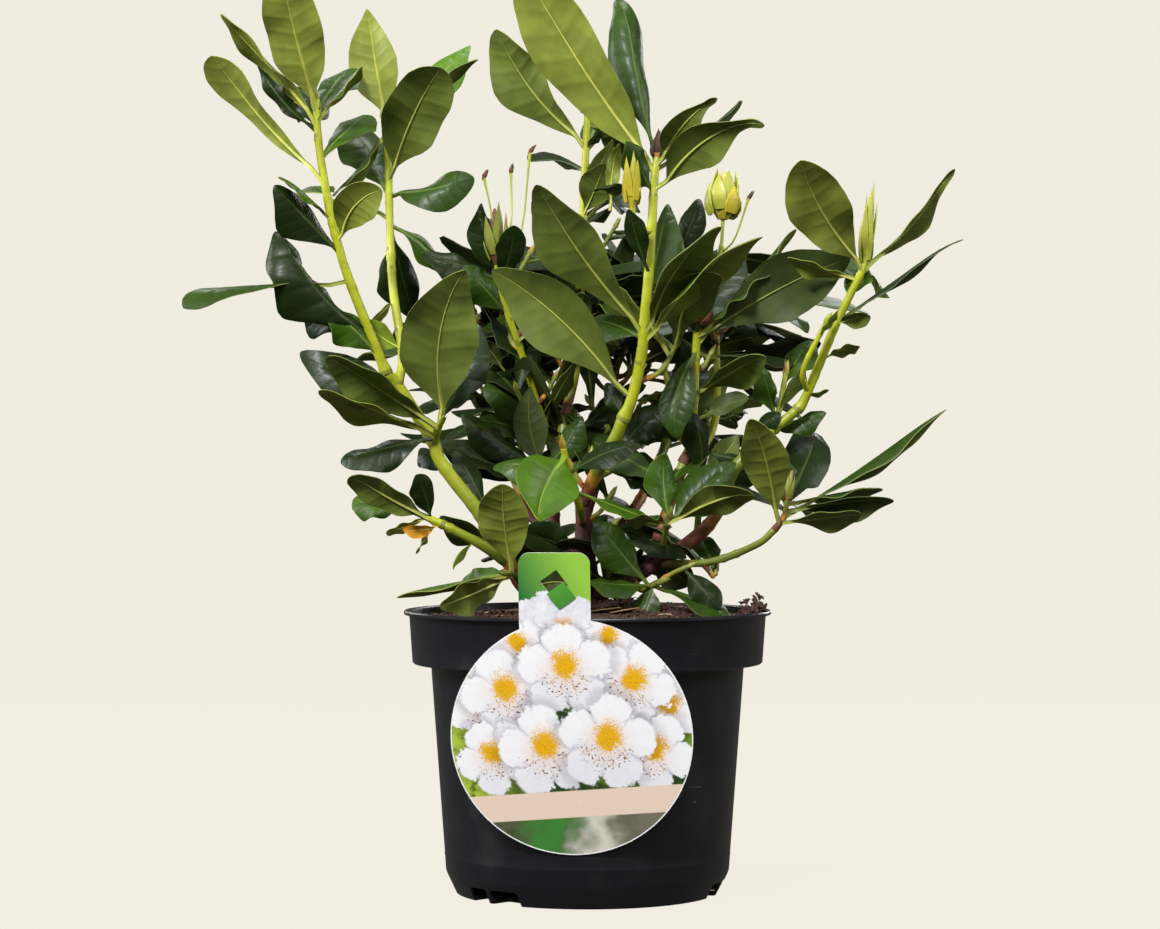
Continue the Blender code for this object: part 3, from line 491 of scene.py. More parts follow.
@dataclass(frozen=True)
class PlainFinish:
    """A pale card or straw: one colour, faintly mottled."""

    name: str
    color: Color
    rough: float = 0.4

    def made(self) -> bpy.types.Material:
        """The finish as a material."""
        graph = Graph(self.name)
        cloud = graph.noise(90.0, 3.0)
        darker = tuple(c * 0.8 for c in self.color)
        graph.feed("Base Color", graph.mix(cloud, darker, self.color))
        graph.feed("Roughness", cloud * 0.2 + self.rough - 0.1)
        graph.bump(cloud, 0.3, 0.0003)
        return graph.material


@dataclass(frozen=True)
class StageFinish:
    """The pale floor and backdrop, evenly bright."""

    name: str = "pale_floor"
    color: Color = srgb(241, 237, 225)
    glow: float = 0.985

    def made(self) -> bpy.types.Material:
        """The finish as a material."""
        base = tuple(c * (1 - self.glow) for c in self.color)
        graph = Graph(self.name, Base_Color=base, Roughness=0.9, Specular_IOR_Level=0.0)
        graph.feed("Emission Color", self.color)
        graph.feed("Emission Strength", self.glow)
        return graph.material


# ---------------------------------------------------------------------------- the source's rule

# The eye of the front view that the rows below are read on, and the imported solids' own margins
EYE = Vector((-4.7, -1900.0, 267.0))
GOLDEN_ANGLE = 137.5
PETIOLE_SHARE = 0.12
PETIOLE_RADIUS = 1.3
SWINGS = (0, 8, -8, 16, -16, 25, -25)
COARSE, SMOOTH = 2, 8
FAR_LENGTH = (72, 96)
FAR_WIDTH = 0.34
FAR_TOWARD = (-75, -35)
FAR_SPREAD = 0.55
SPRAY_LENGTH = (42, 62)
SPRAY_LEAVES = 5
SPRAY_LEAF = (62, 88)
SOIL_TOP = 169.0
GAP = 0.3

Spot = tuple[float, float, float]


class Bough(NamedTuple):
    """A bough: the limb it leaves, how far along, the points it runs through and its thickness."""

    parent: str
    share: float
    through: Sequence[Spot]
    thick: tuple[float, float]


class Leaf(NamedTuple):
    """A leaf: share along its shoot, heading, lean to the front, length, width, facing, bend."""

    share: float
    clock: float
    toward: float
    length: float
    width: float
    face: float
    bend: float


class Shoot(NamedTuple):
    """A shoot: its share along the parent, points, thickness, leaves, end bud and bare stalks."""

    share: float
    through: Sequence[Spot]
    thick: tuple[float, float]
    leaves: Sequence[tuple]
    bud: tuple[float, float] = (10, 4)
    stalks: Sequence[Sequence[Spot]] = ()


class Mass(NamedTuple):
    """A mass of foliage: its bough, stem, other shoots, and what the seeded rule adds."""

    bough: str
    stem: Shoot
    shoots: Sequence[Shoot] = ()
    far_leaves: int = 0
    sprays: int = 0
    seed: int = 1


# The rows of the limbs and masses, as the source has them, with points as (x, z, depth)
BOUGHS: dict[str, Bough] = {
    "bough_left": Bough("trunk", 0.18, [(-35, 188, -14), (-47, 202, -20), (-62, 229, -25), (-91, 267, -28),
        (-97, 282, -28), (-118, 315, -26), (-126, 324, -29)], (10.5, 7)),
    "bough_left_low": Bough("bough_left", 0.3, [(-67, 217, -32), (-90, 229, -38)], (6.4, 5.2)),
    "bough_centre": Bough("trunk", 1, [(5, 261, -8), (17, 283, -20), (22, 295, -25)], (8.6, 7.6)),
    "bough_back": Bough("trunk", 0.34, [(-17, 217, 18), (-21, 232, 26), (-20, 257, 34), (-14, 298, 46)],
        (8.4, 6.6)),
    "bough_right": Bough("trunk", 0.2, [(23, 193, -3), (40, 203, -7), (70, 223, -10), (84, 242, -12),
        (92, 264, -14), (111, 284, -16), (131, 301, -18)], (10.5, 6.2)),
    "bough_upright": Bough("bough_right", 0.24, [(49, 235, 4), (60, 268, 9)], (7.6, 6.4)),
    "bough_low_right": Bough("bough_right", 0.27, [(77, 206, -24), (106, 217, -35), (117, 226, -39)],
        (5, 4)),
    "bough_rear_left": Bough("bough_back", 0.3, [(-36, 236, 50), (-47, 264, 80), (-52, 296, 100)],
        (6.8, 5.6)),
    "bough_rear_middle": Bough("trunk", 0.85, [(6, 256, 34), (12, 280, 70), (16, 304, 94)], (7, 5.4)),
    "bough_rear_right": Bough("trunk", 0.62, [(24, 232, 40), (46, 272, 76), (56, 306, 98)], (7.6, 5.6))}
TRUNK: Sequence[Spot] = [(0, 195, 4), (-2, 213, 3), (-3, 242, 1)]
TRUNK_THICK = (17.0, 9.4)
TRUNK_FLARE = 6.0
FLARE_FADE = 7.0

MASSES: dict[str, Mass] = {
    "foliage_left_tall": Mass("bough_left", Shoot(1, [(-139, 356, -34), (-152, 390, -38), (-161, 424, -40),
        (-168, 464, -40), (-170, 489, -40)], (6.6, 4.6), [(0.73, 128, 8, 106, 36, -50, 10),
        (0.95, 119, 15, 93, 27, -68, 28), (0.99, 102, 26, 92, 34, -5, 10),
        (0.92, 126, -40, 72, 28, -150, 20), (0.98, 67, -40, 60, 26, 150, 20), (0.96, 53, 35, 54, 22, 80, 15),
        (0.52, 46, 30, 53, 26, 20, 15), (0.465, 130, 22, 60, 27, -146, 15), (0.6, 138, 30, 45, 20, -85, 10),
        (0.1, 122, 15, 104, 31, -140, 30), (0.14, 142, -25, 62, 28, -140, 20),
        (0.07, 132, 30, 52, 24, -148, 20), (0.37, 194, 20, 108, 22, -70, -6)], (14, 5)), far_leaves=3,
        seed=2),
    "foliage_left_inner": Mass("bough_left", Shoot(0.95, [(-116, 336, -18), (-122, 378, -8), (-124, 421, 0),
        (-125, 464, 4), (-127, 483, 5)], (6, 4.4), [(0.98, 98, 22, 74, 33, -10, 12),
        (0.72, 119, -28, 74, 32, -155, 15), (0.95, 227, 20, 58, 18, -70, 10), (0.78, 61, 35, 94, 37, 5, 10),
        (0.98, 48, -15, 80, 30, 150, 10), (0.95, 42, 10, 76, 20, 80, 10), (0.72, 18, 20, 62, 26, 118, 20),
        (0.62, -32, -25, 54, 26, 120, 20), (0.14, 140, 35, 30, 17, -15, 5), (0.33, 224, 20, 26, 13, -70, 5),
        (0.6, -74, -20, 64, 28, 160, 15)], (12, 5)), far_leaves=3, seed=3),
    "foliage_left_whorl": Mass("bough_left", Shoot(0.74, [(-94, 288, -42), (-92, 293, -50)], (5, 4),
        [(0.85, 79, 26, 112, 48, 0, 10), (0.8, 144, 24, 88, 32, -40, 10), (0.4, 153, 30, 88, 28, -60, 12),
        (0.3, 186, 10, 62, 26, -130, 25), (0.8, 73, -12, 72, 28, 160, 10),
        (0.75, 147, 0, 100, 32, -150, 20)]), seed=4),
    "foliage_left_low": Mass("bough_left_low", Shoot(1, [(-108, 237, -40), (-116, 240, -40)], (4.8, 3.2),
        [(0.35, 150, 22, 60, 20, -30, 5), (0.3, 105, 35, 34, 17, -150, 10), (0.4, 192, 10, 28, 9, -60, 20),
        (0.2, 235, 10, 24, 7, -60, 10), (0.85, 165, -30, 46, 18, -140, 15)], (8, 3.4)), seed=5),
    "foliage_base_left": Mass("bough_left", Shoot(0.22, [(-46, 198, -34), (-50, 199, -42)], (5, 3.6),
        [(0.85, 190, 5, 72, 17, -75, 4), (0.75, 183, -25, 46, 15, -150, 40), (0.7, 200, 22, 54, 24, -40, 8),
        (0.8, 94, 30, 68, 32, -12, 10)]), seed=6),
    "foliage_front": Mass("trunk", Shoot(0.8, [(-5, 240, -18), (-12, 262, -34), (-15, 277, -42)], (5.2, 4),
        [(0.94, 250, 42, 64, 41, 176, 24), (0.55, -18, 4, 57, 17, 115, 10), (0.75, 30, 10, 50, 22, 130, 30),
        (0.7, 165, -10, 52, 22, -130, 25)]), seed=7),
    "foliage_centre": Mass("bough_centre", Shoot(1, [(28, 309, -28), (34, 337, -32), (36, 362, -35),
        (39, 395, -37), (42, 447, -36), (44, 459, -35)], (7.4, 5.2), [(0.33, 123, 22, 124, 42, -35, 12),
        (0.34, 58, 35, 98, 34, 50, 10), (0.31, 45, 28, 110, 30, 62, 10), (0.09, 137, 10, 120, 42, -15, 8),
        (0.94, 121, 8, 152, 43, -38, 10), (0.97, 99, -12, 124, 32, -150, 20), (0.97, 48, 30, 64, 27, 20, 10),
        (0.96, 32, -12, 72, 15, 80, -15), (0.88, 31, 28, 93, 36, 25, 15), (0.98, 65, 0, 26, 9, 60, 0),
        (0.86, 117, 30, 40, 20, -150, 10), (0.46, 79, -20, 70, 28, 150, 8),
        (0.32, 151, -30, 48, 24, -150, 30), (0.9, 184, 20, 42, 12, -70, 10)], (18, 8)), [Shoot(0.72,
        [(30, 417, -46), (28, 430, -48)], (4, 3.6), (), (24, 9))], far_leaves=3, sprays=1, seed=8),
    "foliage_back": Mass("bough_back", Shoot(1, [(-7, 330, 55), (-5, 375, 62), (-3, 420, 66), (0, 487, 70)],
        (6.4, 4.6), [(0.88, 125, 10, 100, 38, -32, 10), (0.88, 49, 20, 22, 9, 60, 5),
        (0.84, -47, 20, 54, 14, 150, -10), (0.66, 67, 30, 42, 24, 10, 5), (0.75, 59, 15, 38, 14, 15, 0),
        (0.42, 113, -20, 52, 28, -150, 10)], (14, 7)), far_leaves=4, seed=9),
    "foliage_centre_left": Mass("bough_back", Shoot(0.72, [(-30, 301, 28), (-42, 339, 15), (-55, 376, 6),
        (-57, 394, 4)], (5, 3.8), [(0.93, 101, 10, 48, 22, -150, 5), (0.9, 73, 25, 40, 20, -150, 8),
        (0.92, 157, 5, 52, 24, -140, 20), (0.62, 36, 20, 60, 28, 30, 10), (0.16, 141, 12, 52, 24, -150, 15),
        (0.14, 162, 30, 60, 22, -130, 20), (0.75, 128, 30, 44, 22, -160, 25)], (32, 8), [[(-60, 423, 0),
        (-65, 447, -2)], [(-48, 417, 8), (-48, 450, 10)], [(-42, 411, 4), (-36, 463, 2)]]), far_leaves=4,
        sprays=1, seed=10),
    "foliage_centre_right": Mass("bough_upright", Shoot(1, [(65, 284, 8), (68, 339, 2), (69, 355, -2)],
        (6.2, 5), [(0.9, 28, 12, 110, 38, 12, 8), (0.5, 32, 38, 64, 26, 50, 10),
        (0.9, 88, 45, 46, 22, -170, 30), (0.85, 256, 15, 64, 26, -150, 15), (0.88, 66, -20, 72, 30, 140, 10),
        (0.86, 51, -5, 98, 26, 72, 5), (0.92, 41, 15, 62, 24, 75, 5)], (14, 9)), [Shoot(0.12, [(55, 290, 20),
        (49, 324, 26)], (3.8, 3), [(0.8, 190, 20, 24, 9, -60, 20), (0.85, 25, 20, 26, 9, 60, 20)],
        (8, 3.4))], seed=11),
    "foliage_back_right": Mass("bough_upright", Shoot(0.85, [(79, 290, 26), (81, 339, 32), (80, 376, 36),
        (84, 404, 40)], (5, 3.6), [(0.15, -3, 30, 66, 20, 130, 15), (0.62, 70, -45, 80, 30, 140, 15),
        (0.6, 110, -40, 76, 28, -140, 15)], (26, 13), [[(92, 408, 36), (101, 434, 34)]]), far_leaves=2,
        seed=12),
    "foliage_right": Mass("bough_right", Shoot(1, [(136, 308, -19), (149, 339, -24), (158, 360, -27),
        (174, 392, -30)], (6, 4.6), [(0.96, 123, 33, 96, 37, -12, 10), (0.97, 44, 20, 86, 28, 62, -10),
        (0.62, 35, 5, 93, 26, 80, 5), (0.9, 127, -35, 42, 26, -150, 10), (0.9, 160, 10, 48, 16, -60, 10),
        (0.6, 10, 40, 26, 13, 40, 0), (0.35, 32, 20, 28, 13, 60, 30), (0.75, 69, -20, 30, 20, 140, 10),
        (0.1, 17, 20, 16, 8, 60, 0)], (50, 8)), [Shoot(0.14, [(135, 326, -31), (149, 355, -37)], (3.6, 3),
        [(0.8, 60, 20, 22, 10, 60, 10)], (8, 3.4))], far_leaves=1, seed=15),
    "foliage_right_inner": Mass("bough_right", Shoot(0.76, [(117, 294, 2), (121, 306, 8), (124, 323, 12)],
        (4, 3.2), [(0.6, 66, 15, 38, 22, 60, 10), (0.55, 105, 20, 36, 20, -150, 10),
        (0.9, 60, -20, 38, 24, 140, 10), (0.4, 20, 20, 40, 18, 130, 10)], (10, 4)), far_leaves=1, seed=14),
    "foliage_low_right": Mass("bough_low_right", Shoot(1, [(123, 234, -39), (125, 244, -38)], (3.8, 3.2),
        [(0.3, 9, 20, 52, 22, 60, 5), (0.7, 9, 12, 68, 26, 50, 10), (0.55, 30, 5, 119, 28, 78, -8),
        (0.95, 10, 0, 60, 14, 80, 5), (0.25, 107, 33, 86, 34, -10, 12), (0.75, 96, -25, 38, 26, -160, 10)],
        (20, 5)), far_leaves=3, seed=15),
    "foliage_right_front": Mass("bough_right", Shoot(0.3, [(48, 220, -22), (51, 233, -32)], (4.4, 3.4),
        [(0.92, 23, 25, 64, 25, 40, 15), (0.88, 162, 24, 42, 22, -60, 15), (0.92, 90, -5, 44, 24, -160, 10),
        (0.88, 45, 0, 58, 32, 150, 15)]), seed=16),
    "foliage_base_right": Mass("bough_right", Shoot(0.17, [(33, 189, -17), (38, 190, -28), (45, 193, -36)],
        (4.8, 3.6), [(0.88, -22, 18, 58, 24, 110, 14), (0.75, 126, 12, 54, 28, -150, 15),
        (0.8, 170, 25, 44, 22, -120, 10), (0.85, 250, 25, 26, 18, -150, 10)]), [Shoot(0.8, [(54, 199, -41),
        (63, 203, -44)], (3.4, 3), [(0.9, -48, 10, 34, 19, 160, 10)], (6, 3))], seed=17),
    "foliage_middle_left": Mass("bough_back", Shoot(0.42, [(-27, 255, 18), (-30, 264, 8)], (4.6, 3.6),
        [(0.95, 139, 12, 62, 25, -145, 20), (0.7, 157, 18, 74, 24, -150, 12), (0.6, 159, 28, 80, 22, -95, 6),
        (0.9, 97, 0, 56, 22, 5, 10), (0.85, 60, 10, 46, 20, 150, 20)]), far_leaves=1, seed=18),
    "foliage_middle": Mass("bough_centre", Shoot(0.3, [(13, 262, 4), (18, 266, 8)], (4.4, 3.6),
        [(0.9, 48, -15, 56, 22, 150, 15), (0.8, -26, 5, 42, 17, 120, 15), (0.55, 152, -20, 46, 24, 20, 10),
        (0.75, 163, -35, 52, 22, -150, 20)]), seed=19),
    "foliage_middle_right": Mass("bough_right", Shoot(0.44, [(70, 244, 4), (72, 258, 12)], (4.4, 3.6),
        [(0.95, 53, -22, 46, 22, 20, 10), (0.9, 100, 10, 50, 20, -150, 15), (0.85, 20, -25, 58, 22, 130, 20),
        (0.8, 140, -30, 60, 24, -150, 20)]), far_leaves=1, seed=20),
    "foliage_rear_left": Mass("bough_rear_left", Shoot(1, [(-60, 330, 112), (-64, 362, 118)], (5.4, 4.2), (),
        (12, 5)), far_leaves=5, sprays=2, seed=21),
    "foliage_rear_middle": Mass("bough_rear_middle", Shoot(1, [(18, 330, 112), (20, 362, 126)], (5.2, 4.2),
        (), (12, 5)), far_leaves=5, sprays=3, seed=22),
    "foliage_rear_right": Mass("bough_rear_right", Shoot(1, [(66, 338, 110), (72, 366, 116)], (5.4, 4.2), (),
        (12, 5)), far_leaves=5, sprays=3, seed=23)}


class Blade(NamedTuple):
    """A leaf in space: its root, heading, the way its underside faces, length, width and bend."""

    root: Vector
    heading: Vector
    under: Vector
    length: float
    width: float
    bend: float


def seen(x: float, z: float, depth: float) -> Vector:
    """The point that the front view shows at x and z, at this depth."""
    scale = 1 + depth / -EYE.y
    return Vector((EYE.x + (x - EYE.x) * scale, depth, EYE.z + (z - EYE.z) * scale))


def toward_front(direction: Vector) -> Vector:
    """The unit vector across this direction that points most nearly to the front."""
    front = Vector((0, -1, 0))
    return (front - front.dot(direction) * direction).normalized()


class Path:
    """The smooth axis of a limb through its points, read by the share of its length."""

    def __init__(self, points: Sequence[Vector], thick: tuple[float, float], steps: int = COARSE) -> None:
        """Runs a smooth line through the points, in so many steps a span."""
        self.points = list(points)
        self.thick = thick
        self.dots: list[Vector] = []
        ends = [points[0] * 2 - points[1], *points, points[-1] * 2 - points[-2]]
        for before, start, end, after in zip(ends, ends[1:], ends[2:], ends[3:]):
            for step in range(steps):
                t = step / steps
                self.dots.append(0.5 * (
                    2 * start + t * (end - before)
                    + t * t * (2 * before - 5 * start + 4 * end - after)
                    + t ** 3 * (3 * start - before - 3 * end + after)))
        self.dots.append(points[-1])
        self.lengths = [0.0]
        for start, end in zip(self.dots, self.dots[1:]):
            self.lengths.append(self.lengths[-1] + (end - start).length)
        self.length = self.lengths[-1]

    def at(self, share: float) -> Vector:
        """The point at this share of the length."""
        aim = share * self.length
        for i in range(1, len(self.dots) - 1):
            if self.lengths[i] >= aim:
                break
        else:
            i = len(self.dots) - 1
        part = (aim - self.lengths[i - 1]) / (self.lengths[i] - self.lengths[i - 1])
        return self.dots[i - 1].lerp(self.dots[i], part)

    def heading(self, share: float) -> Vector:
        """The direction of growth at this share of the length."""
        low = min(share, 0.98)
        return (self.at(low + 0.02) - self.at(low)).normalized()

    def radius(self, share: float) -> float:
        """Half the thickness at this share of the length."""
        return (self.thick[0] + (self.thick[1] - self.thick[0]) * share) / 2

    def smooth(self) -> "Path":
        """The same line in finer steps, for its skin."""
        return Path(self.points, self.thick, SMOOTH)


def pointing(clock: float, toward: float) -> Vector:
    """The heading at this angle of the front view and this lean to the front, in degrees."""
    across, lean = math.radians(clock), math.radians(toward)
    return Vector((math.cos(across) * math.cos(lean), -math.sin(lean), math.sin(across) * math.cos(lean)))


def set_blade(path: Path, leaf: Leaf, swing: float = 0.0) -> Blade:
    """A leaf of a shoot, from its row and a swing to the front."""
    heading = pointing(leaf.clock, leaf.toward + swing)
    under = Quaternion(heading, math.radians(leaf.face)) @ toward_front(heading)
    return Blade(path.at(leaf.share), heading, under, leaf.length, leaf.width, leaf.bend)


def grown_blade(root: Vector, axis: Vector, heading: Vector, length: float, width: float,
                bend: float, roll: float) -> Blade:
    """A leaf that keeps its upper side to the shoot's axis, give or take its roll."""
    under = (heading * axis.dot(heading) - axis).normalized()
    return Blade(root, heading, Quaternion(heading, math.radians(roll)) @ under, length, width, bend)


def far_blades(path: Path, count: int, draw: random.Random) -> Iterator[Blade]:
    """Leaves on the far side of a shoot, spaced up it by the golden angle."""
    for i in range(count):
        share = 0.97 - 0.5 * i / max(count, 1) * draw.uniform(0.6, 1.0)
        clock = 90 + ((i * GOLDEN_ANGLE) % 360 - 180) * FAR_SPREAD
        toward = draw.uniform(*FAR_TOWARD)
        length = draw.uniform(*FAR_LENGTH)
        bend = draw.uniform(10, 35)
        roll = draw.uniform(-20, 20)
        yield grown_blade(path.at(share), path.heading(share), pointing(clock, toward), length,
                          length * FAR_WIDTH, bend, roll)


def whorl_blades(path: Path, count: int, draw: random.Random,
                 lengths: tuple[float, float] = SPRAY_LEAF) -> Iterator[Blade]:
    """A whorl of leaves round the end of a twig, with their least and greatest length."""
    axis = path.heading(1.0)
    across = axis.orthogonal().normalized()
    first = draw.uniform(0, 360)
    for i in range(count):
        around = Quaternion(axis, math.radians(first + i * GOLDEN_ANGLE)) @ across
        rise = math.radians(draw.uniform(15, 50))
        length = draw.uniform(*lengths)
        bend = draw.uniform(15, 45)
        roll = draw.uniform(-20, 20)
        heading = around * math.cos(rise) + axis * math.sin(rise)
        yield grown_blade(path.at(0.97 - 0.05 * i), axis, heading, length, length * FAR_WIDTH, bend, roll)


def side_twig(stem: Path, share: float, turn: float, length: float, thick: tuple[float, float]) -> Path:
    """A twig that springs from a stem at this share of it and this turn round it, and curves up."""
    root, axis = stem.at(share), stem.heading(share)
    out = Quaternion(axis, math.radians(turn)) @ axis.orthogonal().normalized()
    middle = root + (out * 0.8 + axis * 0.45) * length * 0.5
    return Path([root, middle, middle + (out * 0.55 + Vector((0, 0, 0.8))) * length * 0.5], thick)


def spray_paths(stem: Path, count: int, draw: random.Random) -> Iterator[Path]:
    """Twigs that spring from a stem by the golden angle and curve up."""
    for i in range(count):
        turn = i * GOLDEN_ANGLE + draw.uniform(-15, 15)
        yield side_twig(stem, 0.15 + 0.65 * i / count, turn, draw.uniform(*SPRAY_LENGTH), (3.8, 3.0))


class Solid:
    """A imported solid's surface, for finding what the source grew and what it left out."""

    def __init__(self, node: bpy.types.Object) -> None:
        """Takes in the node's mesh, in millimetres."""
        points = [vertex.co / MM for vertex in node.data.vertices]
        self.tree = BVHTree.FromPolygons(points, [list(face.vertices) for face in node.data.polygons])

    def has_blade(self, blade: Blade, margin: float = 0.05) -> bool:
        """Whether the source grew this leaf: its tip is on the surface, give or take the margin."""
        return self.tree.find_nearest(blade_tip(blade), margin)[0] is not None

    def has_twig(self, path: Path) -> bool:
        """Whether the source grew this twig: its skin is near the surface half way along."""
        return any(self.tree.find_nearest(path.at(share), path.radius(share) * 1.3)[0] is not None
                   for share in (0.6, 0.75, 0.9))


def blade_tip(blade: Blade) -> Vector:
    """The point of a leaf's tip."""
    petiole = blade.length * PETIOLE_SHARE
    bend = math.radians(blade.bend) or 1e-4
    return blade.root + blade.heading * petiole + (blade.length - petiole) / bend * (
        math.sin(bend) * blade.heading + (1 - math.cos(bend)) * blade.under)


# ---------------------------------------------------------------------------- meshes

Pattern = tuple[np.ndarray, list[tuple[int, ...]]]


def select_only(*objects: bpy.types.Object) -> None:
    """Selects these objects alone and makes the first one active."""
    bpy.ops.object.select_all(action="DESELECT")
    for one in objects:
        one.select_set(True)
    bpy.context.view_layer.objects.active = objects[0]


def primitive(operator: Callable[..., Any], **settings: Any) -> bpy.types.Object:
    """Adds a primitive, which alone is selected."""
    bpy.ops.object.select_all(action="DESELECT")
    operator(**settings)
    return bpy.context.object


def linked(name: str, data: bpy.types.ID) -> bpy.types.Object:
    """An object of the scene with these data."""
    made = bpy.data.objects.new(name, data)
    bpy.context.scene.collection.objects.link(made)
    return made


def edit_mode(on: bool = True) -> None:
    """Goes into edit mode with everything selected, or out of it."""
    bpy.ops.object.mode_set(mode="EDIT" if on else "OBJECT")
    if on:
        bpy.ops.mesh.select_all(action="SELECT")


def leave_outward() -> None:
    """Turns all faces outward and leaves edit mode."""
    bpy.ops.mesh.select_all(action="SELECT")
    bpy.ops.mesh.normals_make_consistent(inside=False)
    edit_mode(False)


def select_where(thing: bpy.types.Object, chosen: Callable[[Vector], bool]) -> None:
    """Goes into edit mode with the points selected that are chosen by their place."""
    edit_mode()
    bpy.ops.mesh.select_mode(type="VERT")
    bpy.ops.mesh.select_all(action="DESELECT")
    edit_mode(False)
    for vertex in thing.data.vertices:
        vertex.select = chosen(vertex.co)
    bpy.ops.object.mode_set(mode="EDIT")


def arrays(thing: bpy.types.Object) -> Pattern:
    """Points and faces of a modelled pattern, which is then removed."""
    points = np.array([vertex.co for vertex in thing.data.vertices], float).reshape(-1, 3)
    faces = [tuple(face.vertices) for face in thing.data.polygons]
    bpy.data.objects.remove(thing)
    return points, faces


def extruded_rings(profile: Sequence[tuple[float, float]], sides: int, closed: bool = True) -> bpy.types.Object:
    """A lathed form: a circle, extruded and resized ring by ring up its profile.

    Args:
        profile: (radius, height) of each ring, in millimetres.
        sides: the points of a ring.
        closed: whether the first ring is filled, and the last one drawn to its middle.

    Returns:
        The object.
    """
    radius, height = profile[0]
    made = primitive(bpy.ops.mesh.primitive_circle_add, vertices=sides, radius=radius * MM,
                     fill_type="TRIFAN" if closed else "NOTHING", location=(0, 0, height * MM))
    bpy.ops.object.transform_apply(location=True)
    edit_mode()
    bpy.ops.mesh.select_mode(type="EDGE")
    if closed:
        bpy.ops.mesh.region_to_loop()
    for new_radius, new_height in profile[1:]:
        rise = {"value": (0, 0, (new_height - height) * MM)}
        bpy.ops.mesh.extrude_edges_move(TRANSFORM_OT_translate=rise)
        ratio = new_radius / radius
        bpy.ops.transform.resize(value=(ratio, ratio, 1), center_override=(0, 0, new_height * MM))
        radius, height = new_radius, new_height
    if closed:
        bpy.ops.mesh.merge(type="CENTER")
    leave_outward()
    return made


class Batch:
    """Points and faces of many small things, joined into one mesh with a finish for each face."""

    def __init__(self, name: str) -> None:
        """Starts an empty batch."""
        self.name = name
        self.points: list[np.ndarray] = []
        self.faces: list[tuple[int, ...]] = []
        self.slots: list[int] = []
        self.finishes: list[str] = []
        self.count = 0

    def add(self, points: np.ndarray, faces: Iterable[Sequence[int]], finishes: Any) -> None:
        """Adds one thing.

        Args:
            points: its points in millimetres.
            faces: its faces, as indices of the points.
            finishes: the finish of each face, or one for all.
        """
        for face, finish in zip(faces, repeat(finishes) if isinstance(finishes, str) else finishes):
            if finish not in self.finishes:
                self.finishes.append(finish)
            self.faces.append(tuple(i + self.count for i in face))
            self.slots.append(self.finishes.index(finish))
        self.points.append(points)
        self.count += len(points)

    def made(self, materials: dict[str, bpy.types.Material], smooth: float = 50.0) -> bpy.types.Object:
        """The batch as an object in metres.

        Args:
            materials: the materials by finish name.
            smooth: the angle in degrees up to which faces are shaded as one.

        Returns:
            The object.
        """
        mesh = bpy.data.meshes.new(self.name)
        mesh.from_pydata((np.concatenate(self.points) * MM).tolist(), [], self.faces)
        for finish in self.finishes:
            mesh.materials.append(materials[finish])
        mesh.polygons.foreach_set("material_index", self.slots)
        made = linked(self.name, mesh)
        select_only(made)
        bpy.ops.object.shade_smooth_by_angle(angle=math.radians(smooth))
        return made


def kept(piece: bpy.types.Object, slot: str, *nodes: str) -> None:
    """Lets a finished piece ride on the body and stand for its nodes, and reports it."""
    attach(piece, BODY)
    if nodes:
        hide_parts(*nodes)
    LOG.info("%s: %d triangles", piece.name, sum(len(face.vertices) - 2 for face in piece.data.polygons))


# ---------------------------------------------------------------------------- pot, soil, label


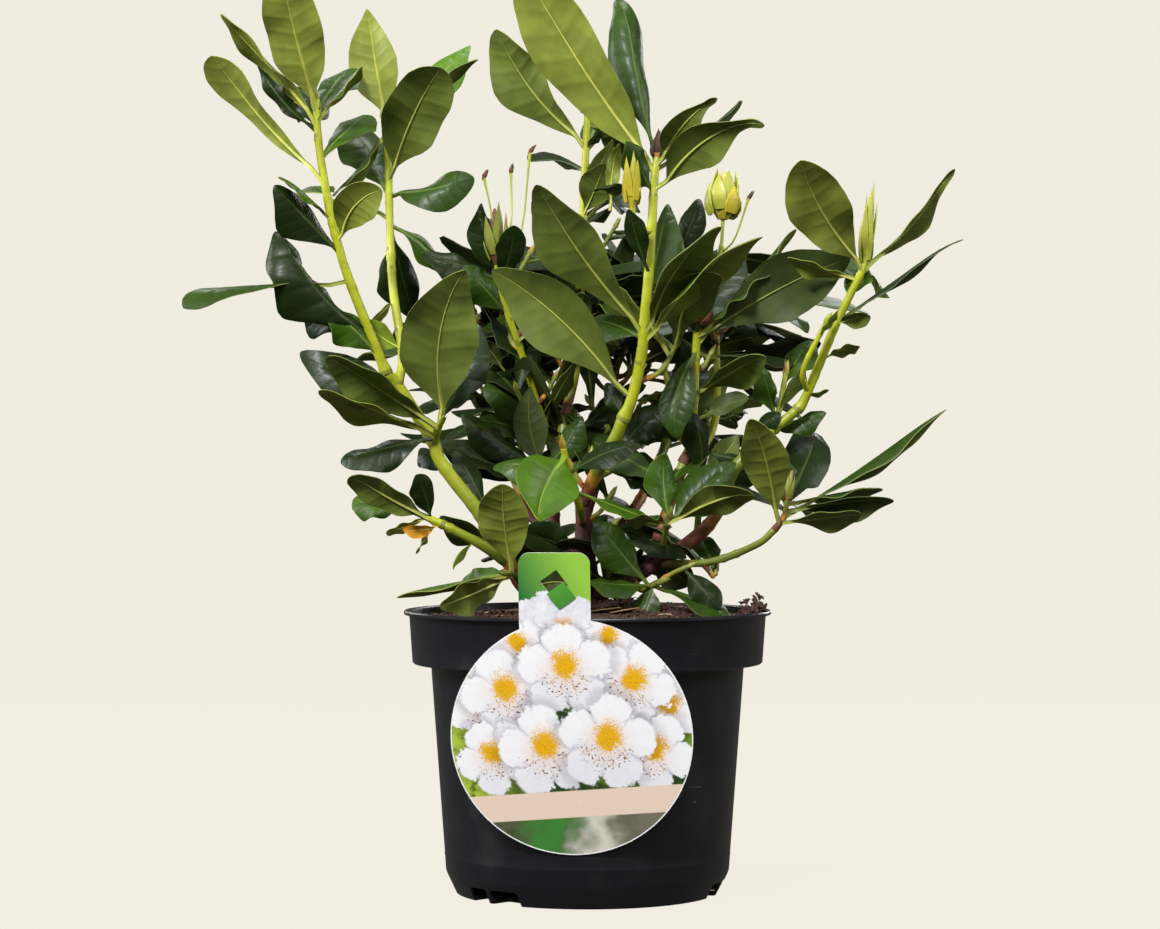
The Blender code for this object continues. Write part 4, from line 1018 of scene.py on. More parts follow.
@dataclass
class Pot:
    """The nursery pot: a lathed shell with a collar, a rolled lip, a foot line and drain slots."""

    height: float = 176.0
    wall: float = 2.0
    floor: float = 3.0
    lip_radius: float = 115.0
    lip_height: float = 2.5
    band_top: float = 111.5
    band_foot: float = 109.5
    band_bottom: float = 143.0
    wall_top: float = 98.0
    wall_foot: float = 88.5
    wall_rings: tuple[float, ...] = (30, 44, 60, 80, 100, 120, 136)
    line: float = 24.0
    foot: float = 14.0
    base: float = 82.5
    sides: int = 128
    slot_turns: tuple[float, ...] = (-45.5, 74.5, 194.5)
    slot_widths: tuple[float, float] = (16.0, 22.0)
    rib: float = 2.5
    slot_height: float = 9.0
    slot_inner: float = 68.0

    def wall_at(self, height: float) -> float:
        """The outer radius of the tapered wall at a height."""
        part = (height - self.foot) / (self.band_bottom - self.foot)
        return self.wall_foot + (self.wall_top - self.wall_foot) * part

    def profile(self) -> list[tuple[float, float]]:
        """Radius and height along the outside and back down the inside, with rounded edges."""
        top, band, foot, line = self.height, self.band_bottom, self.foot, self.line
        low, wall, lip, inner = self.wall_foot, self.wall_top, self.lip_radius, self.band_top - self.wall
        under = top - self.lip_height
        return [
            (self.base - 1.2, 0), (self.base - 0.3, 0.3), (self.base + 0.1, 1.2), (low - 0.5, foot - 1.4),
            (low + 0.1, foot + 0.6), (self.wall_at(line), line - 0.6), (self.wall_at(line) + 0.22, line),
            (self.wall_at(line + 1), line + 0.8), *((self.wall_at(ring), ring) for ring in self.wall_rings),
            (wall - 0.2, band - 1.4), (wall + 0.6, band - 0.2), (self.band_foot - 0.9, band),
            (self.band_foot, band + 0.8), (self.band_top, under - 1.4), (self.band_top + 0.7, under - 0.5),
            (lip - 0.6, under), (lip, under + 0.6), (lip, top - 0.7), (lip - 0.7, top), (inner + 0.6, top),
            (inner, top - 0.6), (self.band_foot - self.wall, band + self.wall),
            (wall - self.wall, band + self.wall), (low - self.wall, foot), (self.base - 1, self.floor),
            (12, self.floor)]

    def build(self, finish: PotFinish) -> None:
        """Models the pot.

        Args:
            finish: the plastic.
        """
        pot = extruded_rings(self.profile(), self.sides)
        pot.name = "pot_shell"
        for turn in self.slot_turns:
            for side, width in zip((-1, 1), self.slot_widths):
                cutter = self.cutter(turn, side, width)
                cut = pot.modifiers.new("drain", "BOOLEAN")
                cut.object = cutter
                cut.operation = "DIFFERENCE"
                select_only(pot)
                bpy.ops.object.modifier_apply(modifier=cut.name)
                bpy.data.objects.remove(cutter)
        bpy.ops.object.shade_smooth_by_angle(angle=math.radians(35))
        pot.data.materials.append(finish.made())
        kept(pot, "pot_plastic", "pot")

    def cutter(self, turn: float, side: int, width: float) -> bpy.types.Object:
        """The space of one drain slot, with rounded upper corners."""
        deep = self.wall_foot + 12 - self.slot_inner
        across = side * (width + self.rib) / 2
        spot = Quaternion((0, 0, 1), math.radians(turn)) @ Vector((across, -self.slot_inner - deep / 2, 0))
        made = primitive(bpy.ops.mesh.primitive_cube_add, size=MM, location=spot * MM,
                         rotation=(0, 0, math.radians(turn)))
        made.scale = (width, deep, self.slot_height * 2)
        bpy.ops.object.transform_apply(location=False, rotation=False, scale=True)
        edit_mode()
        bpy.ops.mesh.bevel(offset=2.2 * MM, segments=3)
        edit_mode(False)
        return made


@dataclass
class Soil:
    """The bark soil: a rough mound to just under the lip, with bark, straws and leaf litter."""

    top: float = SOIL_TOP + 4.6
    edge: float = 170.5
    radius: float = 106.5
    heap: Spot = (30.0, -4.0, 11.0)
    heap_reach: float = 44.0
    lip: float = 176.5
    rings: int = 34
    sides: int = 96
    chips: int = 1500
    straws: int = 46
    crumbs: int = 130
    # Dead leaves: bearing in degrees, distance from the middle and length
    litter: tuple[Spot, ...] = ((-78, 40, 26), (-64, 52, 18), (-120, 70, 16), (60, 60, 22), (150, 50, 20))

    def height(self, x: float, y: float) -> float:
        """The rough ground's height at a place."""
        away = math.hypot(x, y) / self.radius
        rough = noise.fractal(Vector((x, y, 0.0)) * 0.09, 1.0, 2.1, 4) * 1.3
        clods = noise.noise(Vector((x, y, 7.0)) * 0.035) * 1.6
        beside = math.hypot(x - self.heap[0], y - self.heap[1]) / self.heap_reach
        clods += self.heap[2] * math.exp(-beside ** 2)
        return self.top - 0.4 - (self.top - self.edge) * away ** 2.2 + rough + clods * (1 - away * 0.5)

    def build(self, mound: SoilFinish, finishes: dict[str, Any]) -> None:
        """Models the soil.

        Args:
            mound: the finish of the ground.
            finishes: those of dark and red bark, straw and litter.
        """
        steps = [(self.radius * (1 - i / self.rings), self.top) for i in range(self.rings)]
        ground = extruded_rings([(self.radius, self.top - 14), *steps[:-1], (2.0, self.top)], self.sides)
        ground.name = "soil_mound"
        for vertex in ground.data.vertices:
            if vertex.co.z > (self.top - 8) * MM:
                vertex.co.z = self.height(vertex.co.x / MM, vertex.co.y / MM) * MM
        select_only(ground)
        bpy.ops.object.shade_smooth_by_angle(angle=math.radians(60))
        ground.data.materials.append(mound.made())
        kept(ground, "soil_bark", "soil")
        draw = random.Random(41)
        batch = Batch("soil_chips")
        chip, straight = self.chip(), self.straw()
        for _ in range(self.chips):
            away = self.radius * 0.985 * math.sqrt(draw.random())
            size = draw.uniform(1.6, 6.5) * (1.6 if draw.random() < 0.08 else 1.0)
            self.lay(batch, chip, away, (size, size * draw.uniform(0.25, 0.5), draw.uniform(0.5, 1.6)),
                     "bark_dark" if draw.random() < 0.75 else "bark_red", draw, 38)
        for _ in range(self.crumbs):
            turn, out = math.radians(draw.gauss(-15, 5)), draw.uniform(97, 113)
            size = draw.uniform(1.6, 4.6)
            heap = 11.0 * math.exp(-((math.degrees(turn) + 15) / 5) ** 2) * draw.random()
            self.lay(batch, chip, out, (size, size * 0.5, size * 0.4), "bark_dark", draw, 60, turn, heap + 2.5)
        for _ in range(self.straws):
            away = self.radius * 0.93 * math.sqrt(draw.random())
            self.lay(batch, straight, away, (draw.uniform(7, 22), 0.5, 0.4), "straw", draw, 14)
        for turn, out, size in self.litter:
            self.lay(batch, chip, out, (size, size * 0.38, 0.8), "litter", draw, 10, math.radians(turn), 2.0)
        kept(batch.made({name: finish.made() for name, finish in finishes.items()}, 30), "soil_bark")

    def chip(self) -> Pattern:
        """A splinter of bark, a unit long: a cube tapered and split."""
        thing = primitive(bpy.ops.mesh.primitive_cube_add, size=2)
        edit_mode()
        bpy.ops.mesh.subdivide(number_cuts=1)
        edit_mode(False)
        draw = random.Random(7)
        for vertex in thing.data.vertices:
            away = abs(vertex.co.x)
            vertex.co.y *= (1 - 0.55 * away) * draw.uniform(0.75, 1.15)
            vertex.co.z = vertex.co.z * (1 - 0.3 * away) * draw.uniform(0.7, 1.2) + vertex.co.x * 0.1
        points, faces = arrays(thing)
        return points / 2, faces

    def straw(self) -> Pattern:
        """A straw, one unit long and slightly bowed."""
        thing = primitive(bpy.ops.mesh.primitive_cube_add, size=1)
        edit_mode()
        bpy.ops.mesh.subdivide(number_cuts=2)
        edit_mode(False)
        for vertex in thing.data.vertices:
            vertex.co.z += 6.0 * (0.25 - vertex.co.x ** 2)
        return arrays(thing)

    def lay(self, batch: Batch, shape: Pattern, out: float, size: Spot, finish: str, draw: random.Random,
            tilt: float, turn: Optional[float] = None, lift: float = 0.4) -> None:
        """Lays one thing on the ground.

        Args:
            batch: what it joins.
            shape: its points and faces.
            out: how far it lies from the middle.
            size: its length, width and thickness.
            finish: its finish.
            draw: the random draw.
            tilt: the most that it leans, in degrees.
            turn: its bearing round the pot, drawn if left out.
            lift: how far its middle stands above the ground.
        """
        bearing = draw.uniform(0, 2 * math.pi) if turn is None else turn
        x, y = out * math.cos(bearing), out * math.sin(bearing)
        z = self.height(x, y) + lift if out < self.radius else self.lip + max(lift - 3, 0)
        turning = Quaternion((0, 0, 1), draw.uniform(0, math.pi)) @ Quaternion(
            (0, 1, 0), math.radians(draw.uniform(-tilt, tilt)))
        points = (shape[0] * np.array(size)) @ np.array(turning.to_matrix()).T + np.array((x, y, z))
        batch.add(points, shape[1], finish)


@dataclass
class Label:
    """The picture label: a round card with a tab and a square hole, hung on the rim."""

    pot: Pot
    radius: float = 72.2
    thickness: float = 0.8
    low_edge: float = 34.0
    turn: float = -5.4
    tab_half: float = 21.2
    tab_step: float = -8.6
    tab_top: float = 112.0
    corner: float = 7.0
    hole_rise: float = 93.5
    hole_half: float = 8.5
    hole_turn: float = -9.0
    flap_step: tuple[float, float] = (4.2, -7.0)
    flap_lift: float = 1.9
    steps: int = 120

    def outline(self) -> list[tuple[float, float]]:
        """The card's outline in its own plane, from the disc's centre."""
        left, right = self.tab_step - self.tab_half, self.tab_step + self.tab_half
        start = math.acos(left / self.radius)
        end = math.acos(right / self.radius) + 2 * math.pi
        turns = [start + (end - start) * i / self.steps for i in range(self.steps + 1)]
        dots = [(self.radius * math.cos(turn), self.radius * math.sin(turn)) for turn in turns]
        for side, first in ((right, 0), (left, 90)):
            middle = side - math.copysign(self.corner, side - self.tab_step)
            for i in range(9):
                turn = math.radians(first + 90 * i / 8)
                dots.append((middle + self.corner * math.cos(turn),
                             self.tab_top - self.corner + self.corner * math.sin(turn)))
        return dots

    def build(self, front: PrintFinish, back: PlainFinish, green: PlainFinish) -> None:
        """Models the card and its flap.

        Args:
            front: the print.
            back: the bare card behind.
            green: the flap.
        """
        curve = bpy.data.curves.new("label_card", "CURVE")
        curve.dimensions = "2D"
        curve.fill_mode = "BOTH"
        curve.extrude = self.thickness / 2 * MM
        turns = [math.radians(self.hole_turn + 90 * i) for i in range(4)]
        hole = [(self.tab_step + self.hole_half * math.cos(turn), self.hole_rise + self.hole_half * math.sin(turn))
                for turn in turns]
        for outline in (self.outline(), hole):
            spline = curve.splines.new("POLY")
            spline.points.add(len(outline) - 1)
            for dot, (x, y) in zip(spline.points, outline):
                dot.co = (x * MM, y * MM, 0, 1)
            spline.use_cyclic_u = True
        select_only(linked("label_card", curve))
        bpy.ops.object.convert(target="MESH")
        card = bpy.context.object
        card.name = "label_card"
        edit_mode()
        bpy.ops.mesh.remove_doubles(threshold=1e-6)
        leave_outward()
        layer = card.data.uv_layers.new(name="card")
        for loop in card.data.loops:
            layer.data[loop.index].uv = (card.data.vertices[loop.vertex_index].co / MM).xy
        for finish in (front, back):
            card.data.materials.append(finish.made())
        for face in card.data.polygons:
            face.material_index = 0 if face.normal.z > 0.9 else 1
        flap = self.flap(green)
        self.hang(card)
        self.hang(flap)
        kept(card, "label_card", "label")
        kept(flap, "label_card")

    def flap(self, green: PlainFinish) -> bpy.types.Object:
        """The punched square that is folded down in front of the card."""
        made = primitive(bpy.ops.mesh.primitive_plane_add, size=MM)
        made.name = "label_flap"
        side = self.hole_half * math.sqrt(2) * 1.02
        middle = Vector((self.tab_step + self.flap_step[0], self.hole_rise + self.flap_step[1], 0)) * MM
        made.scale = (side, side, 1)
        made.rotation_euler = (math.radians(9), 0, math.radians(self.hole_turn + 45))
        made.location = middle + Vector((0, 0, self.flap_lift)) * MM
        bpy.ops.object.transform_apply(location=True, rotation=True, scale=True)
        edit_mode()
        bpy.ops.mesh.subdivide(number_cuts=7)
        bpy.ops.mesh.extrude_region_move(TRANSFORM_OT_translate={"value": (0, 0, -self.thickness * MM * 0.7)})
        leave_outward()
        for vertex in made.data.vertices:
            away = (vertex.co - middle).xy.length / (self.hole_half * MM)
            vertex.co.z += 0.5 * MM * (1 - away ** 2)
        made.data.materials.append(green.made())
        return made

    def hang(self, card: bpy.types.Object) -> None:
        """Hangs a flat piece of the card on the rim, leaning as the collar does."""
        pot = self.pot
        lean = math.atan2(pot.lip_radius - pot.band_foot, pot.height - pot.lip_height - pot.band_bottom)
        rise = self.low_edge + self.radius * math.cos(lean)
        clear = (GAP + self.thickness / 2) / math.cos(lean)
        out = pot.band_foot + (rise - pot.band_bottom) * math.tan(lean) + clear
        card.rotation_euler = (math.pi / 2 + lean, 0, math.radians(self.turn))
        card.location = Quaternion((0, 0, 1), math.radians(self.turn)) @ Vector((0, -out, rise)) * MM
        select_only(card)
        bpy.ops.object.transform_apply(location=True, rotation=True, scale=True)


# ---------------------------------------------------------------------------- leaves, twigs, buds


class LeafPart(Enum):
    """The parts of a leaf that have their own colour."""

    UPPER = "upper"
    VEIN = "vein"
    UNDER = "under"
    RIB = "rib"


@dataclass(frozen=True)
class Tone:
    """The colours of one leaf tone; sunlit and shaded are the olive tone made lighter and darker, with painted light
    and painted shade.
    """

    name: str
    under: Color
    rib: Color
    upper: Color
    vein: Color

    def finishes(self) -> list[SkinFinish]:
        """One skin for each part."""
        return [SkinFinish(self.key(LeafPart.UNDER), self.under, 0.5, 0.0, 900.0, 0.0002, 0.3),
                SkinFinish(self.key(LeafPart.RIB), self.rib, 0.46, 0.0),
                SkinFinish(self.key(LeafPart.UPPER), self.upper, 0.38, 0.03, 330.0, 0.001, 0.2),
                SkinFinish(self.key(LeafPart.VEIN), self.vein, 0.4, 0.0, 900.0, 0.0005, 0.24)]

    def key(self, part: LeafPart) -> str:
        """The finish name of a part."""
        return f"leaf_{self.name}_{part.value}"


# The sunlit and shaded tones carry painted light and painted shade: the olive colours made lighter and darker
TONES = {tone.name: tone for tone in (
    Tone("sunlit", srgb(126, 137, 52), srgb(190, 192, 88), srgb(54, 82, 13), srgb(100, 124, 40)),
    Tone("olive", srgb(99, 112, 44), srgb(164, 170, 78), srgb(40, 62, 11), srgb(74, 96, 34)),
    Tone("shaded", srgb(66, 78, 35), srgb(122, 130, 62), srgb(25, 40, 9), srgb(52, 70, 26)),
    Tone("fresh", srgb(128, 150, 46), srgb(182, 196, 88), srgb(68, 102, 14), srgb(120, 146, 50)),
    Tone("withered", srgb(222, 158, 44), srgb(230, 196, 90), srgb(226, 156, 40), srgb(232, 190, 84)))}

# The shares of a blade at which the outlines below give its half width
BLADE_SHARES = (0.0, 0.08, 0.2, 0.34, 0.48, 0.6, 0.72, 0.84, 0.93, 0.98, 1.0)


class Outline(Enum):
    """The outlines of a leaf, as shares of its half width."""

    OVAL = (0.07, 0.26, 0.58, 0.82, 0.97, 1.0, 0.93, 0.72, 0.44, 0.2, 0.0)
    LANCE = (0.07, 0.20, 0.48, 0.77, 0.97, 1.0, 0.86, 0.56, 0.32, 0.17, 0.0)
    PADDLE = (0.07, 0.13, 0.20, 0.34, 0.56, 0.80, 1.0, 0.95, 0.68, 0.34, 0.0)
    BROAD = (0.07, 0.32, 0.72, 0.94, 1.0, 0.99, 0.95, 0.84, 0.6, 0.3, 0.0)
    TAILED = (0.07, 0.30, 0.74, 1.0, 0.96, 0.74, 0.42, 0.25, 0.27, 0.17, 0.0)
    POINTED = (0.07, 0.30, 0.70, 0.93, 1.0, 0.90, 0.70, 0.42, 0.2, 0.1, 0.0)

    def at(self, share: np.ndarray) -> np.ndarray:
        """The smoothed half width at these shares."""
        fine = np.linspace(-0.1, 1.1, 241)
        width = np.interp(fine, BLADE_SHARES, self.value, right=0.0)
        return np.interp(share, fine, np.convolve(width, np.hanning(15) / np.hanning(15).sum(), "same")) * (
            share < 0.9999)


class Look(NamedTuple):
    """How one leaf looks: its tone and outline, and its curves beyond the plain bend.

    sweep bends it sideways, tip bends its end to the underside, fold turns its halves to the
    underside and twist turns it round its rib, in degrees. wave is its ruffle in millimetres and
    roll its margin's roll as a share of its half width, which wide multiplies, as pleats does the
    relief between its veins.
    """

    tone: str = ""
    outline: Optional[Outline] = None
    sweep: Optional[float] = None
    tip: Optional[float] = None
    fold: Optional[float] = None
    twist: Optional[float] = None
    wave: Optional[float] = None
    roll: Optional[float] = None
    wide: float = 1.0
    pleats: float = 1.0

    def drawn(self, draw: random.Random, tones: Sequence[str]) -> "Look":
        """The same look, with what it leaves open drawn at random."""
        outlines = (Outline.OVAL, Outline.LANCE, Outline.POINTED, Outline.LANCE, Outline.BROAD)
        others = Look(draw.choice(tones), draw.choice(outlines),
                      draw.gauss(0, 14), draw.gauss(10, 16), draw.uniform(-4, 22), draw.gauss(0, 14),
                      draw.uniform(0.6, 2.6), draw.uniform(0.04, 0.2))
        return Look(*(other if own is None or own == "" else own for own, other in zip(self, others)))


# How far the rows beside a vein move up to it, in rows
VEIN_PINCH = 0.45


@dataclass
class LeafPattern:
    """A leaf modelled once as a flat double sheet, and laid on each blade by its own numbers."""

    stations: int
    strips: int = 8
    rows_per_vein: int = 5
    rib: float = 0.1
    thickness: float = 0.55
    pleat: float = 0.2

    def __post_init__(self) -> None:
        """Models the sheet: a grid extruded to a slab, with its tip drawn together."""
        sheet = primitive(bpy.ops.mesh.primitive_grid_add, x_subdivisions=self.stations,
                          y_subdivisions=self.strips, size=2)
        columns = {round(2 / self.strips, 3): self.rib}
        if self.strips == 8:
            columns.update({0.5: 0.42, 0.75: 0.76})
        for vertex in sheet.data.vertices:
            side = round(abs(vertex.co.y), 3)
            vertex.co.y = math.copysign(columns.get(side, side), vertex.co.y)
        edit_mode()
        bpy.ops.mesh.extrude_region_move(TRANSFORM_OT_translate={"value": (0, 0, -1)})
        leave_outward()
        select_where(sheet, lambda place: place.x > 0.999)
        bpy.ops.mesh.merge(type="CENTER")
        edit_mode(False)
        self.parts = [self.part(face.center) for face in sheet.data.polygons]
        points, self.faces = arrays(sheet)
        row = np.round((points[:, 0] + 1) / 2 * self.stations)
        step = row % self.rows_per_vein
        self.ridge = np.where(step == 0, 1.0, -0.5)
        row += VEIN_PINCH * ((step == self.rows_per_vein - 1) * 1.0 - (step == 1))
        self.along = row / self.stations
        self.across = points[:, 1]
        self.below = -points[:, 2]

    def part(self, centre: Vector) -> LeafPart:
        """Which part of the leaf a face of the sheet is."""
        if abs(centre.z + 0.5) < 0.1:
            return LeafPart.UNDER
        middle = abs(centre.y) < self.rib or (centre.x + 1) / 2 < PETIOLE_SHARE
        if centre.z > -0.5:
            return LeafPart.VEIN if middle else LeafPart.UPPER
        return LeafPart.RIB if middle else LeafPart.UNDER

    def laid(self, blade: Blade, look: Look, draw: random.Random) -> np.ndarray:
        """The pattern's points on a blade, in millimetres.

        Args:
            blade: the leaf in space.
            look: its curves.
            draw: the draw of its ruffles.

        Returns:
            The points.
        """
        half, petiole = blade.width / 2 * look.wide, blade.length * PETIOLE_SHARE
        reach, small = blade.length - petiole, min(1.0, blade.length / 60)
        side, body = np.abs(self.across), self.along > PETIOLE_SHARE
        share = np.clip((self.along - PETIOLE_SHARE) / (1 - PETIOLE_SHARE), 0, 1)
        slant = 0.5 * side * look.outline.at(share) * half / reach * np.minimum(1, (1 - share) * 6)
        share = np.clip(share + slant * body, 0, 1)
        ripple = np.sin(share * draw.uniform(9, 17) + draw.uniform(0, 6.28) + np.sign(self.across) * 1.3)
        outline = look.outline.at(share) * half * (1 + 0.03 * ripple * side)
        rib = PETIOLE_RADIUS * small * np.interp(share, (0, 0.12, 0.5, 1), (1.1, 0.85, 0.55, 0.0))
        outline = np.maximum(outline, rib * 1.05)
        inner = np.clip(side / self.rib, 0, 1)
        outer = np.clip((side - self.rib) / (1 - self.rib), 0, 1)
        x = np.sign(self.across) * (rib * 0.85 * inner + np.maximum(outline - rib * 0.85, 0) * outer)
        swell = np.sin(share * math.pi) ** 0.6
        deep = math.tan(math.radians(look.fold)) * np.abs(x) * swell
        deep += look.roll * outline * outer ** 3 * swell * 1.6
        deep += look.wave * small * ripple * outer ** 1.4 * swell
        deep += self.ridge * self.pleat * look.pleats * small * min(1.0, half / 14) * swell * np.interp(
            outer, (0, 0.35, 0.73, 1), (0.5, 1.0, 0.8, 0.15)) * (side > 0)
        deep += self.below * (self.thickness * small + rib * 1.3 * (1 - inner))
        deep += (1 - self.below) * 0.35 * small * (1 - inner) * body
        spine, along, flat, down = self.spine(blade, look, reach)
        place = np.interp(share, spine, range(len(spine)))
        low = np.minimum(place.astype(int), len(spine) - 2)
        part = (place - low)[:, None]
        middle, flat, down = (field[low] * (1 - part) + field[low + 1] * part for field in (along, flat, down))
        before = np.array(blade.heading) * (np.clip(self.along / PETIOLE_SHARE, 0, 1) - 1)[:, None] * petiole
        return middle + before + flat * x[:, None] + down * deep[:, None]

    def spine(self, blade: Blade, look: Look, reach: float) -> tuple[np.ndarray, ...]:
        """The curved rib of a blade.

        Args:
            blade: the leaf in space.
            look: its curves.
            reach: the length beyond its stalk.

        Returns:
            Shares, and at each the place, the way across and the way to the underside.
        """
        share = np.linspace(0, 1, 41)
        heading, under = np.array(blade.heading), np.array(blade.under)
        across = np.cross(heading, under)
        curl = look.tip * (np.clip((share - 0.55) / 0.45, 0, 1) ** 2 - 0.15)
        bend = np.radians(blade.bend * share + curl)[:, None]
        sweep = np.radians(look.sweep * (share - 0.5) * 1.6)[:, None]
        forward = np.cos(bend) * heading + np.sin(bend) * under
        down = np.cos(bend) * under - np.sin(bend) * heading
        run = np.cos(sweep) * forward + np.sin(sweep) * across
        flat = np.cos(sweep) * across - np.sin(sweep) * forward
        twist = np.radians(look.twist * np.clip(share - 0.15, 0, 1))[:, None]
        flat, down = np.cos(twist) * flat + np.sin(twist) * down, np.cos(twist) * down - np.sin(twist) * flat
        steps = (run[1:] + run[:-1]) / 2 * reach / 40
        neck = np.array(blade.root) + heading * blade.length * PETIOLE_SHARE
        return share, neck + np.concatenate([np.zeros((1, 3)), np.cumsum(steps, 0)]), flat, down

    def add(self, batch: Batch, blade: Blade, look: Look, draw: random.Random) -> None:
        """Adds a leaf on this blade to a batch, with its look."""
        tone = TONES[look.tone]
        batch.add(self.laid(blade, look, draw), self.faces, [tone.key(part) for part in self.parts])


def tube(path: Path, radii: Sequence[float], shares: Sequence[float], sides: int,
         relief: Optional[Callable[[int, int], float]] = None) -> tuple[np.ndarray, list[tuple[int, ...]], list[int]]:
    """A limb's skin: rings along a path, closed at both ends.

    Args:
        path: the axis.
        radii: the radius at each share.
        shares: the shares of the length that have a ring.
        sides: the points of a ring.
        relief: a function of (ring, side) that gives a change of radius.

    Returns:
        Points, faces and the ring of each face.
    """
    axis = path.heading(0.0)
    across = axis.orthogonal().normalized()
    points, faces, rings = [], [], []
    for i, (share, radius) in enumerate(zip(shares, radii)):
        heading = path.heading(share)
        across = (across - across.dot(heading) * heading).normalized()
        for j in range(sides):
            more = relief(i, j) if relief else 0.0
            out = Quaternion(heading, 2 * math.pi * j / sides) @ across
            points.append(path.at(share) + out * (radius + more))
        if i:
            for j in range(sides):
                k = (j + 1) % sides
                low, high = (i - 1) * sides, i * sides
                faces.append((low + j, low + k, high + k, high + j))
                rings.append(i - 1)
    points.append(path.at(shares[-1]) + path.heading(1.0) * radii[-1] * 0.5)
    points.append(path.at(shares[0]))
    last, tip = (len(shares) - 1) * sides, len(shares) * sides
    for j in range(sides):
        k = (j + 1) % sides
        faces += [(last + j, last + k, tip), (k, j, tip + 1)]
        rings += [len(shares) - 2, 0]
    return np.array(points), faces, rings


@dataclass
class BudPattern:
    """A bud: a spindle under pointed scales that overlap upwards by the golden angle."""

    sides: int = 6
    scales: int = 9

    def __post_init__(self) -> None:
        """Models one scale, a unit long: a plate drawn to a point, hollow to the inside."""
        plate = primitive(bpy.ops.mesh.primitive_grid_add, x_subdivisions=4, y_subdivisions=2, size=2)
        for vertex in plate.data.vertices:
            share = (vertex.co.x + 1) / 2
            width = math.sin(math.pi * min(share * 0.75 + 0.25, 1.0)) * (1 - 0.3 * share)
            hollow = 0.5 * (1 - abs(vertex.co.y))
            vertex.co = (share, vertex.co.y * 0.5 * width, hollow * 0.5 * width)
        edit_mode()
        bpy.ops.mesh.extrude_region_move(TRANSFORM_OT_translate={"value": (0, 0, -0.05)})
        bpy.ops.mesh.select_all(action="SELECT")
        bpy.ops.mesh.remove_doubles(threshold=0.002)
        leave_outward()
        self.points, self.faces = arrays(plate)

    def add(self, batch: Batch, base: Vector, axis: Vector, length: float, thick: float, open_by: float,
            colors: Sequence[str], draw: random.Random) -> None:
        """Adds a bud to a batch.

        Args:
            batch: what it joins.
            base: where it stands.
            axis: the way it points.
            length: its length.
            thick: its greatest thickness.
            open_by: how far its scales lean out, in degrees.
            colors: finishes of the core, the scales and the odd dead scale.
            draw: the random draw.
        """
        core = Path([base - axis * 2, base + axis * length * 0.5, base + axis * length], (thick, thick))
        shares = (0.0, 0.2, 0.4, 0.6, 0.8, 0.95)
        shape = (0.35, 0.8, 0.92, 0.75, 0.42, 0.12)
        points, faces, _ = tube(core, [thick / 2 * s for s in shape], shares, self.sides)
        batch.add(points, faces, colors[0])
        across = axis.orthogonal().normalized()
        for i in range(self.scales):
            share = i / self.scales
            out = Quaternion(axis, math.radians(i * GOLDEN_ANGLE)) @ across
            lean = math.radians(open_by * (1 - share * 0.6) + draw.uniform(-3, 3) + 6)
            size = length * (0.62 + 0.22 * share) * draw.uniform(0.85, 1.1)
            wide = thick * 0.85 * (1 - 0.3 * share)
            start = base + axis * length * 0.32 * share + out * thick * 0.36 * (1 - 0.4 * share)
            up = axis * math.cos(lean) + out * math.sin(lean)
            face = (out - out.dot(up) * up).normalized()
            side = up.cross(face) * -1
            frame = np.array([up * size, side * wide, face * wide])
            curved = self.points.copy()
            curved[:, 2] -= 0.35 * curved[:, 0] ** 2
            color = colors[2] if draw.random() < 0.18 else colors[1]
            batch.add(curved @ frame + np.array(start), self.faces, color)


